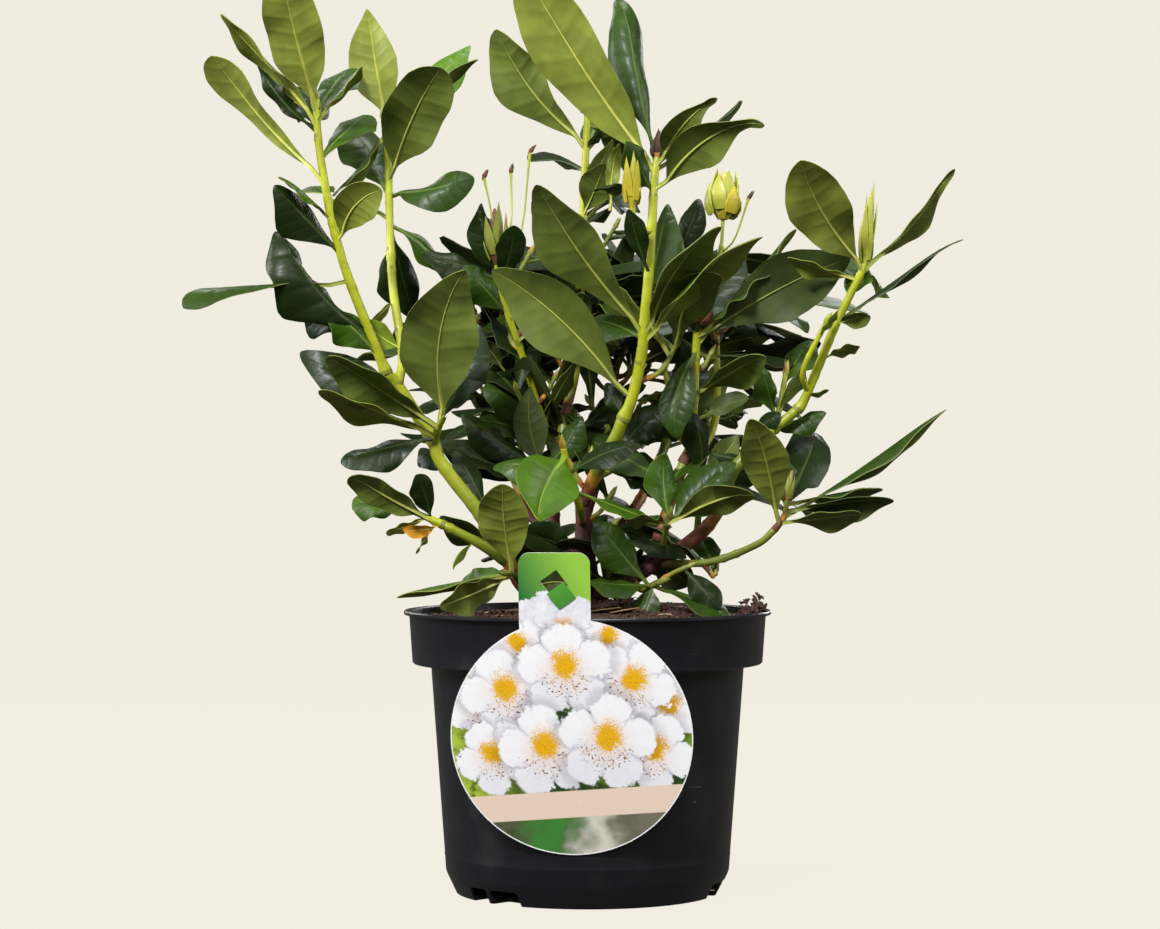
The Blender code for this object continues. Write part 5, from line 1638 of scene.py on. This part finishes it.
@dataclass
class Limbs:
    """The trunk and boughs: skins with the bark's relief, each its own piece."""

    finish: BarkFinish
    sides: int = 14
    step: float = 2.2
    paths: dict[str, Path] = field(default_factory=dict)
    # How old the bark is at the start and end of each limb, 1 for old wood and 0 for green
    ages: dict[str, tuple[float, float]] = field(default_factory=lambda: {
        "trunk": (1.0, 0.72), "bough_left": (0.98, -0.45), "bough_left_low": (0.5, 0.1),
        "bough_centre": (0.72, 0.1), "bough_back": (0.9, 0.3), "bough_right": (1.0, 0.12),
        "bough_upright": (0.78, 0.3), "bough_low_right": (0.5, 0.34), "bough_rear_left": (0.85, 0.2),
        "bough_rear_middle": (0.85, 0.2), "bough_rear_right": (0.85, 0.2)})

    def build(self) -> None:
        """Models every limb."""
        material = self.finish.made()
        foot = Vector((0, 4, SOIL_TOP + GAP))
        trunk = Path([foot, foot + Vector((0, 0, 5)), *(seen(*dot) for dot in TRUNK)], TRUNK_THICK)
        self.paths["trunk"] = trunk
        for name, bough in BOUGHS.items():
            root = self.paths[bough.parent].at(bough.share)
            self.paths[name] = Path([root, *(seen(*dot) for dot in bough.through)], bough.thick)
        for seed, (name, path) in enumerate(self.paths.items()):
            self.skin(name, path, material, seed)

    def skin(self, name: str, path: Path, material: bpy.types.Material, seed: int) -> None:
        """Models one limb with rings of old scars and long ridges, its age and its unrolled skin."""
        draw = random.Random(seed)
        fine = path.smooth()
        rings = max(6, round(fine.length / self.step))
        shares = [i / rings for i in range(rings + 1)]
        scars = [draw.uniform(0.1, 0.95) for _ in range(max(2, round(fine.length / 16)))]
        first, last = self.ages[name]
        radii = []
        for share in shares:
            radius = fine.radius(share)
            if name == "trunk":
                radius += TRUNK_FLARE / 2 * math.exp(-share * fine.length / FLARE_FADE)
            radius += sum(0.45 * math.exp(-((share - scar) * fine.length / 1.1) ** 2) for scar in scars)
            radii.append(radius)

        def relief(ring: int, side: int) -> float:
            """The bark's ridges, deep on old wood and faint on green."""
            age = first + (last - first) * shares[ring]
            turn = 2 * math.pi * side / self.sides
            ridge = noise.noise(Vector((math.cos(turn) * 1.8, math.sin(turn) * 1.8,
                                        shares[ring] * fine.length * 0.06 + seed * 9)))
            rough = noise.noise(Vector((math.cos(turn) * 3, math.sin(turn) * 3, ring * 0.55 + seed)))
            return ridge * (0.25 + 0.75 * max(age, 0)) + rough * 0.45 * max(age - 0.4, 0)

        points, faces, _ = tube(fine, radii, shares, self.sides, relief)
        mesh = bpy.data.meshes.new(name + "_bark")
        mesh.from_pydata((points * MM).tolist(), [], faces)
        ages = mesh.attributes.new("age", "FLOAT", "POINT")
        level = [first + (last - first) * share for share in shares for _ in range(self.sides)] + [last, first]
        ages.data.foreach_set("value", [min(max(a, 0.0), 1.0) for a in level])
        layer = mesh.uv_layers.new(name="skin")
        for face in mesh.polygons:
            for index, corner in zip(face.loop_indices, (0, 1, 1, 0)):
                vertex = mesh.loops[index].vertex_index
                ring, side = divmod(vertex, self.sides)
                wrap = self.sides if side == 0 and corner == 1 else side
                pole = vertex == len(points) - 1
                away = 0.0 if pole else shares[min(ring, rings)] * fine.length * MM
                layer.data[index].uv = (away, wrap / self.sides * 2 * math.pi * path.thick[0] / 2 * MM)
        mesh.materials.append(material)
        made = linked(name + "_bark", mesh)
        select_only(made)
        bpy.ops.object.shade_smooth()
        kept(made, "old_wood" if name == "trunk" else "green_wood", name)


OVAL, LANCE, PADDLE, BROAD, TAILED, POINTED = Outline

# The leaves that the front view shows well, by mass: the row of its first shoot, then the look
SHOWN: dict[str, Sequence[tuple]] = {
    "foliage_left_tall": (
        (0, "sunlit", PADDLE, 26, 14, 4, 10, 2, 0.05),
        (1, "sunlit", TAILED, 34, -10, 10, -20, 3, 0.05, 0.9, 0.2),
        (2, "sunlit", BROAD, 4, 10, 6, -8, 2, 0.03, 1, 1.3),
        (3, "shaded", LANCE, 50, 20, 40, 30, 1, 0.2, 0.8), (4, "olive", OVAL, -6, 10, 6, 0, 1.5, 0.1),
        (5, "sunlit", LANCE, -36, 10, 20, 0, 1, 0.1, 0.6), (6, "sunlit", OVAL, 34, 10, 10, 20, 0.6, 0.1),
        (7, "shaded", LANCE, -10, 10, 34, 10, 1.5, 0.1),
        (9, "shaded", LANCE, -44, 40, 26, -20, 4.4, 0.36, 1.1, 2.6),
        (10, "shaded", LANCE, -20, 30, 20, 0, 3, 0.3, 1, 2),
        (12, "olive", PADDLE, -20, 46, 8, 76, 0.8, 0.1, 1.15)),
    "foliage_left_inner": (
        (0, "sunlit", POINTED, 2, 6, 22, 14, 1.4, 0.05, 1, 1.2),
        (1, "olive", OVAL, 10, 10, 12, 0, 1.4, 0.1), (2, "olive", TAILED, 30, 10, 30, 30, 1, 0.1, 0.8),
        (3, "olive", BROAD, 10, 10, 12, -10, 2, 0.06, 1, 1.2), (4, "fresh", POINTED, 10, 6, 10, 0, 1, 0.1),
        (6, "olive", OVAL, 50, 6, 20, -60, 1, 0.1), (8, "fresh", OVAL, 20, 6, 10, 0, 0.6, 0.1),
        (10, "shaded", LANCE, 6, 16, 30, 0, 2.4, 0.26)),
    "foliage_left_whorl": (
        (0, "olive", POINTED, 26, 22, 8, -10, 2.2, 0.05, 1, 1.3), (1, "olive", LANCE, 8, 12, 16, 0, 2, 0.1),
        (2, "sunlit", LANCE, 14, 12, 16, 0, 2, 0.1), (3, "shaded", OVAL, -16, 16, 20, 0, 2, 0.1)),
    "foliage_left_low": (
        (1, "shaded", OVAL, 10, 10, 10, 0, 1, 0.1),),
    "foliage_front": (
        (0, "fresh", POINTED, 20, -44, -24, 16, 1.6, 0.1, 1, 0.7),),
    "foliage_base_left": (
        (0, "sunlit", LANCE, -8, 10, 16, 0, 1, 0.1), (3, "sunlit", OVAL, 8, 6, 8, -6, 1.8, 0.05, 1, 1.2)),
    "foliage_centre": (
        (0, "olive", LANCE, 16, 10, 10, 0, 2.6, 0.06, 1, 1.2), (1, "olive", LANCE, 22, 14, 16, 0, 1.8, 0.1),
        (2, "sunlit", LANCE, 24, 16, 20, 0, 1.8, 0.1), (3, "olive", LANCE, -14, 14, 16, 0, 2.2, 0.1),
        (4, "sunlit", BROAD, 12, 10, 6, 6, 3.6, 0.04, 1.1, 1.6),
        (5, "olive", LANCE, -14, 60, 30, 30, 4.4, 0.36, 0.8, 2),
        (6, "olive", TAILED, 20, 10, 20, 0, 1.4, 0.1, 0.75),
        (7, "shaded", PADDLE, 20, 10, 26, 20, 1, 0.1, 0.8),
        (8, "olive", TAILED, 30, 34, 10, -12, 1.6, 0.08, 0.82)),
    "foliage_back": (
        (0, "olive", OVAL, 26, 14, 12, 6, 5, 0.1, 0.92, 1.6),),
    "foliage_centre_right": (
        (0, "shaded", LANCE, 8, 10, 8, 0, 2.2, 0.06, 1.1, 0.8),),
    "foliage_right": (
        (0, "sunlit", OVAL, 14, 8, 14, 0, 2, 0.05, 1, 0.8),
        (1, "olive", TAILED, -24, 20, 26, 40, 1, 0.1, 0.55, 0.2),
        (2, "shaded", TAILED, -18, 20, 30, 10, 1, 0.1, 0.4, 0.2), (5, "olive", OVAL, 10, 10, 20, 0, 1, 0.1)),
    "foliage_low_right": (
        (1, "shaded", LANCE, 6, 10, 30, 10, 0.8, 0.1, 0.8),
        (2, "olive", LANCE, 6, 10, 50, 10, 0.8, 0.1, 0.42),
        (4, "sunlit", LANCE, -8, 10, 12, 0, 1.6, 0.1, 0.85, 1.2))}


class Extra(NamedTuple):
    """A leaf of the scene alone: where its root and tip are seen, its form, tone and outline."""

    root: Spot
    tip: Spot
    width: float
    face: float
    bend: float
    tone: str
    outline: Outline

    def blade(self) -> Blade:
        """The leaf in space."""
        root, tip = seen(*self.root), seen(*self.tip)
        chord = (tip - root).normalized()
        under = Quaternion(chord, math.radians(self.face)) @ toward_front(chord)
        half = math.radians(self.bend / 2)
        heading = chord * math.cos(half) - under * math.sin(half)
        tilted = under * math.cos(half) + chord * math.sin(half)
        return Blade(root, heading, tilted, (tip - root).length * 1.02, self.width, self.bend)


EXTRAS: Sequence[tuple] = (
    ((-56, 215, -26), (-92, 234, -34), 22, -40, 15, "shaded", LANCE),
    ((-62, 236, -24), (-85, 275, -14), 18, -150, 25, "shaded", LANCE),
    ((-5, 214, -2), (-40, 227, -10), 22, 160, 20, "shaded", OVAL),
    ((-84, 262, -27), (-104, 277, -6), 18, -150, 25, "shaded", LANCE),
    ((-52, 326, 18), (-72, 346, 0), 13, -30, 25, "shaded", POINTED),
    ((70, 296, -2), (101, 309, -16), 15, -20, 20, "shaded", LANCE),
    ((102, 282, -14), (122, 299, -20), 15, 150, 20, "shaded", LANCE),
    ((-92, 229, -38), (-116, 227, -48), 10, -40, -20, "withered", LANCE),
    ((-38, 190, -18), (-2, 187, -52), 34, 10, 10, "shaded", BROAD),
    ((-70, 219, -33), (-84, 200, -44), 8, -60, 30, "fresh", LANCE),
    ((38, 204, -6), (66, 192, 6), 22, 20, 20, "shaded", OVAL),
    ((24, 296, -22), (12, 318, -6), 14, 150, 20, "shaded", LANCE),
    ((53, 393, 10), (70, 434, 16), 18, 160, 15, "shaded", LANCE),
    ((-168, 474, -38), (-206, 518, -30), 13, 150, 25, "shaded", LANCE),
    ((38, 388, -40), (26, 427, -55), 15, 160, 20, "shaded", LANCE),
    ((14, 426, 4), (20, 468, 0), 10, 10, 10, "sunlit", LANCE))


class Oval(NamedTuple):
    """A part of the front view: the middle and half sizes of an ellipse."""

    x: float
    z: float
    wide: float
    tall: float

    def holds(self, point: Vector) -> bool:
        """Whether the front view shows the point inside."""
        scale = EYE.y / (EYE.y - point.y)
        across = EYE.x + (point.x - EYE.x) * scale - self.x
        up = EYE.z + (point.z - EYE.z) * scale - self.z
        return (across / self.wide) ** 2 + (up / self.tall) ** 2 < 1


# Where the front view shows the crown closed, and where it shows sky through it
CLOSED: Sequence[tuple] = (
    (-17, 370, 58, 47), (70, 370, 47, 39), (-17, 292, 63, 30), (64, 292, 53, 31), (11, 215, 68, 26),
    (-102, 376, 23, 47), (-118, 292, 33, 25), (136, 314, 30, 28), (-71, 333, 38, 38), (33, 402, 44, 38),
    (114, 370, 38, 25), (-55, 207, 44, 21), (96, 318, 36, 40), (-40, 404, 46, 30))
SKY: Sequence[tuple] = (
    (3, 314, 12, 18), (37, 294, 13, 11), (94, 237, 15, 10), (97, 317, 11, 13), (141, 407, 18, 17),
    (156, 301, 20, 11), (-136, 245, 17, 13), (-90, 459, 19, 13), (-89, 434, 17, 10), (-196, 386, 12, 15))


@dataclass
class Undergrowth:
    """The finer twigs inside the crown, where the front view shows it closed."""

    twigs: tuple[float, float] = (12.0, 34.0)
    leaves: int = 5
    leaf: tuple[float, float] = (46.0, 82.0)
    tries: int = 20
    clear: float = 8.0
    front: float = 2.0
    low_front: float = -34.0
    low: float = 232.0
    taken: list[Vector] = field(default_factory=list)

    def __post_init__(self) -> None:
        """Reads the parts of the front view."""
        self.closed = [Oval(*row) for row in CLOSED]
        self.sky = [Oval(*row) for row in SKY]

    def samples(self, blade: Blade) -> list[Vector]:
        """Places along a leaf's rib."""
        tip = blade_tip(blade)
        return [blade.root.lerp(tip, share) for share in (0.45, 0.75, 1.0)]

    def in_sky(self, blade: Blade) -> bool:
        """Whether a leaf covers a part of the front view that shows sky."""
        return any(part.holds(point) for part in self.sky for point in self.samples(blade))

    def free(self, blade: Blade) -> bool:
        """Whether a leaf keeps to the closed parts, clear of the soil, the pot and other leaves."""
        for point in self.samples(blade):
            if point.y < (self.front if point.z > self.low else self.low_front):
                return False
            if point.z < SOIL_TOP + 9 or (point.z < 200 and point.xy.length > 96):
                return False
            if not any(part.holds(point) for part in self.closed):
                return False
            if any((point - other).length < self.clear for other in self.taken):
                return False
        return not self.in_sky(blade)

    def take(self, blade: Blade) -> None:
        """Marks a leaf's place as taken."""
        self.taken += self.samples(blade)

    def grown(self, path: Path, draw: random.Random) -> Iterator[tuple[Path, list[Blade]]]:
        """Fine twigs along a limb with the leaves that have room.

        Args:
            path: the limb.
            draw: the random draw.

        Returns:
            Each twig with its leaves.
        """
        for i in range(self.tries):
            share = 0.08 + 0.84 * (i + draw.random()) / self.tries
            twig = side_twig(path, share, i * GOLDEN_ANGLE, draw.uniform(*self.twigs), (3.4, 2.6))
            blades = []
            for blade in whorl_blades(twig, self.leaves, draw, self.leaf):
                if self.free(blade):
                    self.take(blade)
                    blades.append(blade)
            if len(blades) > 1:
                yield twig, blades


# The masses whose leaves join each piece, and how brightly a mass shows its leaves
REGIONS = {
    "leaves_left": "left_tall left_inner left_whorl left_low base_left",
    "leaves_middle": "front centre centre_left centre_right middle_left middle middle_right",
    "leaves_right": "right right_inner low_right right_front base_right",
    "leaves_rear": "back back_right rear_left rear_middle rear_right"}
BRIGHT, MIDDLING, DIM = ("sunlit", "sunlit", "olive", "fresh"), ("olive", "olive", "sunlit", "shaded"), (
    "shaded", "olive", "shaded")
BRIGHT_MASSES = ("left_tall", "left_inner", "right", "base_left")


class BudLook(NamedTuple):
    """A bud's finishes for core, scales and odd scale, and how open, wide, tall and upright it is.

    rise is the length in millimetres of a stalk under it.
    """

    colors: tuple[str, str, str]
    open_by: float = 5.0
    wide: float = 1.0
    tall: float = 1.0
    upright: float = 0.0
    rise: float = 0.0


BUD_LOOKS: dict[tuple[str, int], BudLook] = {
    ("centre", 0): BudLook(("bud_orange", "bud_dark", "bud_orange"), 16, 1.2, 1.15),
    ("centre", 1): BudLook(("bud_yellow", "bud_yellow", "bud_lit"), 6, 1.1, 1.4, 0.8),
    ("back", 0): BudLook(("bud_brown", "bud_dark", "bud_brown"), 12, 1.3),
    ("centre_left", 0): BudLook(("bud_brown", "bud_shaded", "bud_orange"), 20, 1.5, 1.1),
    ("centre_right", 0): BudLook(("bud_brown", "bud_brown", "bud_dark"), 50, 1.7, 1.1),
    ("back_right", 0): BudLook(("bud_yellow", "bud_lit", "bud_yellow"), 17, 1.55, 1.15, 0.7, 19),
    ("right", 0): BudLook(("bud_lit", "bud_lit", "bud_brown"), 0, 0.95, 0.9, 0.85),
    ("low_right", 0): BudLook(("bud_orange", "bud_shaded", "bud_brown"), 5)}
TWIG_FINISHES = [SkinFinish(name, srgb(*color), gloss, coat, grain, relief)
                 for name, color, gloss, coat, grain, relief in (
                     ("twig_lit", (164, 170, 26), 0.42, 0.1, 700, 0.0005),
                     ("twig_shaded", (104, 116, 34), 0.46, 0, 700, 0.0005),
                     ("twig_orange", (170, 120, 44), 0.55, 0, 900, 0.0008),
                     ("twig_ochre", (124, 128, 34), 0.5, 0, 900, 0.0006),
                     ("twig_brown", (96, 58, 34), 0.65, 0, 900, 0.0012),
                     ("bud_lit", (166, 170, 56), 0.42, 0.1, 900, 0.0004),
                     ("bud_shaded", (132, 140, 58), 0.45, 0, 900, 0.0004),
                     ("bud_orange", (170, 118, 48), 0.55, 0, 900, 0.0006),
                     ("bud_yellow", (176, 160, 38), 0.42, 0.1, 900, 0.0004),
                     ("bud_dark", (62, 40, 26), 0.6, 0, 900, 0.0008),
                     ("bud_brown", (104, 62, 38), 0.6, 0, 900, 0.0008))]


@dataclass
class Foliage:
    """The shoots, leaves, buds and stalks of every mass, grown again by the source's rule."""

    limbs: Limbs
    nodes: dict[str, bpy.types.Object]

    def __post_init__(self) -> None:
        """Models the patterns and starts the joined pieces."""
        self.broad, self.plain, self.buds = LeafPattern(45), LeafPattern(12, 4, 3), BudPattern()
        self.regions = {region: ["foliage_" + word for word in words.split()]
                        for region, words in REGIONS.items()}
        self.batches = {name: Batch(name) for name in (*self.regions, "twigs", "buds")}
        self.looks = {(mass, row[0]): Look(*row[1:]) for mass, rows in SHOWN.items() for row in rows}
        self.draw = random.Random(11)
        self.under = Undergrowth()
        self.stems: dict[str, Path] = {}
        self.count = 0

    def build(self) -> None:
        """Grows every mass and the finer twigs, and finishes the joined pieces."""
        region_of = {mass: region for region, masses in self.regions.items() for mass in masses}
        for name, mass in MASSES.items():
            self.grow(name, mass, self.batches[region_of[name]])
        for extra in (Extra(*row) for row in EXTRAS):
            look = Look(extra.tone, extra.outline).drawn(self.draw, DIM)
            self.leaf(self.batches["leaves_middle"], extra.blade(), look, True)
        draw = random.Random(77)
        for name, path in (self.limbs.paths | self.stems).items():
            rear = "rear" in name or "back" in name
            leaves = self.batches[region_of.get(name, "leaves_rear" if rear else "leaves_middle")]
            for twig, blades in self.under.grown(path, draw):
                self.twig(twig, False)
                self.bud(twig, (7, 3.4), False)
                for blade in blades:
                    self.leaf(leaves, blade, Look().drawn(draw, DIM))
        skins = [finish for tone in TONES.values() for finish in tone.finishes()] + TWIG_FINISHES
        materials = {finish.name: finish.made() for finish in skins}
        for name, batch in self.batches.items():
            kept(batch.made(materials), "foliage", *self.regions.get(name, ()))
        LOG.info("%d leaves", self.count)

    def tones_of(self, name: str) -> tuple[str, ...]:
        """The leaf tones of a mass, by how much light it gets in the picture."""
        if name in BRIGHT_MASSES:
            return BRIGHT
        return DIM if any(word in name for word in ("back", "rear", "middle", "centre_left")) else MIDDLING

    def grow(self, name: str, mass: Mass, leaves: Batch) -> None:
        """Grows one mass.

        Args:
            name: its node's name.
            mass: its row.
            leaves: the piece that its leaves join.
        """
        solid, short = Solid(self.nodes[name]), name.removeprefix("foliage_")
        tones = self.tones_of(short)
        lit = not any(word in name for word in ("rear", "middle", "base", "right_front"))
        stem = Path([self.limbs.paths[mass.bough].at(mass.stem.share),
                     *(seen(*dot) for dot in mass.stem.through)], mass.stem.thick)
        self.stems[name] = stem
        shoots = [(stem, mass.stem)]
        for row in mass.shoots:
            shoots.append((Path([stem.at(row.share), *(seen(*dot) for dot in row.through)], row.thick), row))
        for k, (path, row) in enumerate(shoots):
            self.twig(path, lit, lit and (k > 0 or self.limbs.ages[mass.bough][1] < 0.3))
            self.bud(path, row.bud, lit, BUD_LOOKS.get((short, k)))
            for stalk in row.stalks:
                self.stalk(path, stalk)
            for i, leaf in enumerate(row.leaves):
                swings = (set_blade(path, Leaf(*leaf), swing) for swing in SWINGS)
                blade = next((blade for blade in swings if solid.has_blade(blade)), None)
                if blade is None:
                    LOG.info("left out: %s leaf %d", name, i)
                    continue
                look = self.looks.get((name, i), Look()) if k == 0 else Look()
                self.leaf(leaves, blade, look.drawn(self.draw, tones), True)
        draw = random.Random(mass.seed)
        blades = list(far_blades(stem, mass.far_leaves, draw))
        for path in spray_paths(stem, mass.sprays, draw):
            if solid.has_twig(path):
                self.twig(path, False)
                self.bud(path, (9, 4), False)
                blades += whorl_blades(path, SPRAY_LEAVES, draw)
        for blade in blades:
            if solid.has_blade(blade) and not self.under.in_sky(blade):
                self.leaf(leaves, blade, Look().drawn(self.draw, tones))

    def leaf(self, batch: Batch, blade: Blade, look: Look, shown: bool = False) -> None:
        """Adds one leaf, on the fine pattern if the front view shows it well."""
        (self.broad if shown else self.plain).add(batch, blade, look, self.draw)
        self.under.take(blade)
        self.count += 1

    def twig(self, path: Path, lit: bool, young: bool = False) -> None:
        """Adds a shoot's skin, with a dull ring at its foot if it is young and a brown foot if not."""
        fine = path.smooth()
        rings = max(6, round(fine.length / 2.4))
        shares = [i / rings for i in range(rings + 1)]
        scars = [self.draw.uniform(0.2, 0.95) for _ in range(max(2, round(fine.length / 18)))]
        radii = [fine.radius(s) * (1 + 0.3 * math.exp(-(s * fine.length / 5) ** 2))
                 + sum(0.35 * math.exp(-((s - scar) * fine.length / 1.6) ** 2) for scar in scars)
                 for s in shares]
        points, faces, place = tube(fine, radii, shares, 9)
        foot = 0.0 if young else self.draw.uniform(2, 9)
        edges = ((foot, "twig_brown"), (foot * 1.7, "twig_orange"), (foot * 2.6 + 1.5, "twig_ochre"))
        ragged = 1.5 if young else 2.0
        colors = []
        for ring in place:
            away = shares[ring] * fine.length + self.draw.uniform(0, ragged)
            near_scar = any(abs(shares[ring] - scar) * fine.length < 1.3 for scar in scars)
            marked = near_scar and self.draw.random() < 0.12
            plain = ("twig_ochre" if marked else "twig_lit") if lit else "twig_shaded"
            colors.append(next((name for edge, name in edges if away < edge), plain))
        self.batches["twigs"].add(points, faces, colors)

    def bud(self, path: Path, size: tuple[float, float], lit: bool, look: Optional[BudLook] = None) -> None:
        """Adds the bud at a shoot's tip, a plump one if the row says so."""
        length, thick = size
        plump = thick >= 9
        green = "bud_lit" if lit else "bud_shaded"
        look = look or BudLook((green, green, "bud_brown" if thick >= 7 else "bud_orange"),
                               16.0 if plump else 5.0, 1.2 if plump else 0.95)
        axis = path.heading(1.0).lerp(Vector((0, 0, 1)), look.upright).normalized()
        foot = path.at(1.0) + axis * look.rise
        if look.rise:
            stalk = Path([path.at(0.97), path.at(1.0), foot], (2.6, 3.4)).smooth()
            points, faces, _ = tube(stalk, [1.4, 1.1, 1.1, 1.5], (0.0, 0.35, 0.7, 1.0), 8)
            self.batches["buds"].add(points, faces, look.colors[1])
        self.buds.add(self.batches["buds"], foot, axis, length * look.tall, thick * look.wide,
                      look.open_by, look.colors, self.draw)

    def stalk(self, path: Path, stalk: Sequence[Spot]) -> None:
        """Adds a bare flower stalk with the dry pod left at its end."""
        line = Path([path.at(0.97), *(seen(*dot) for dot in stalk)], (1.6, 1.3)).smooth()
        shares = [i / 8 for i in range(9)]
        points, faces, _ = tube(line, [0.9, 0.75, 0.65, 0.6, 0.6, 0.6, 0.65, 0.8, 1.1], shares, 6)
        self.batches["buds"].add(points, faces, "bud_lit")
        nod = (line.heading(1.0) + Vector((self.draw.uniform(0.2, 0.9), -0.1, 0.2))).normalized()
        self.buds.add(self.batches["buds"], line.at(1.0), nod, 5.5, 2.8, 3.0,
                      ("bud_brown", "bud_brown", "bud_dark"), self.draw)


# ---------------------------------------------------------------------------- studio


@dataclass
class Studio:
    """A plain pale sweep all round, soft lights and the camera at the picture's place."""

    eye: Spot = (-0.0047, -1.9, 0.267)
    lens: float = 94.09
    radius: float = 5.0
    # Each light: place, what it faces, its width, its height and its power in watts
    lights: tuple[tuple[Spot, Spot, float, float, float], ...] = (
        ((-0.68, 1.22, 0.80), (0, 0, 0.32), 0.14, 1.3, 4.5),
        ((0.50, 1.30, 0.80), (0, 0, 0.32), 0.14, 1.3, 5.0),
        ((-1.20, -0.10, 0.75), (0, 0, 0.35), 0.5, 0.7, 15.0),
        ((1.25, -0.05, 0.80), (0, 0, 0.35), 0.5, 0.7, 9.0),
        ((-0.80, -1.60, 1.60), (0, 0, 0.22), 0.4, 0.4, 58.0),
        ((0.70, -1.70, 1.50), (0, 0, 0.22), 1.0, 1.0, 17.0),
        ((0.0, 0.05, 1.6), (0, 0, 0.3), 0.6, 0.6, 15.0))
    world: float = 0.13

    def build(self) -> None:
        """Sets the stage."""
        sweep = [(self.radius * 1000 * (1 - 0.3 * (1 - math.sin(math.radians(a)))),
                  self.radius * 300 * (1 - math.cos(math.radians(a)))) for a in range(0, 91, 10)]
        wall = [(self.radius * 1000, self.radius * 1000)]
        floor = extruded_rings([*reversed(wall), *reversed(sweep), (self.radius * 500, 0), (60, 0)], 96, False)
        floor.name = "stage_sweep"
        select_where(floor, lambda place: place.xy.length < 0.07)
        bpy.ops.mesh.merge(type="CENTER")
        edit_mode()
        bpy.ops.mesh.flip_normals()
        edit_mode(False)
        bpy.ops.object.shade_smooth()
        floor.data.materials.append(StageFinish().made())
        floor.visible_diffuse = floor.visible_glossy = floor.visible_shadow = False
        floor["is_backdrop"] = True
        for i, (place, aim, width, height, power) in enumerate(self.lights):
            data = bpy.data.lights.new(f"soft_{i}", "AREA")
            data.shape = "RECTANGLE"
            data.size = width
            data.size_y = height
            data.energy = power
            lamp = linked(data.name, data)
            lamp.location = place
            lamp.visible_camera = False
            lamp.rotation_euler = (Vector(aim) - Vector(place)).to_track_quat("-Z", "Y").to_euler()
        world = bpy.data.worlds.new("studio")
        world.use_nodes = True
        shade = world.node_tree.nodes["Background"]
        shade.inputs["Color"].default_value = (*StageFinish().color, 1.0)
        shade.inputs["Strength"].default_value = self.world
        bpy.context.scene.world = world
        data = bpy.data.cameras.new("camera")
        data.lens = self.lens
        data.sensor_width = 36.0
        camera = linked("camera", data)
        camera.location = self.eye
        camera.rotation_euler = (math.pi / 2, 0, 0)
        bpy.context.scene.camera = camera
        bpy.context.scene.view_settings.view_transform = "Standard"


def main() -> None:
    """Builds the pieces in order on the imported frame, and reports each."""
    logging.basicConfig(level=logging.INFO, format="%(message)s")
    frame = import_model()
    packed_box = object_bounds()
    Studio().build()
    pot = Pot()
    pot.build(PotFinish())
    Soil().build(SoilFinish("soil_peat"), {
        "bark_dark": SoilFinish("bark_dark", srgb(34, 22, 20), srgb(96, 62, 48)),
        "bark_red": SoilFinish("bark_red", srgb(58, 36, 28), srgb(134, 88, 62)),
        "straw": PlainFinish("straw", srgb(200, 174, 128), 0.6),
        "litter": PlainFinish("litter", srgb(150, 118, 72), 0.6)})
    Label(pot).build(PrintFinish(), PlainFinish("label_back", srgb(232, 231, 226)),
                     PlainFinish("flap_green", srgb(88, 170, 62), 0.3))
    limbs = Limbs(BarkFinish("bark"))
    limbs.build()
    Foliage(limbs, frame["nodes"]).build()
    boxes = {"cad": packed_box, "visual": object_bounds()}
    {key: [list(corner) for corner in box] for key, box in boxes.items()}


if __name__ == "__main__":
    main()
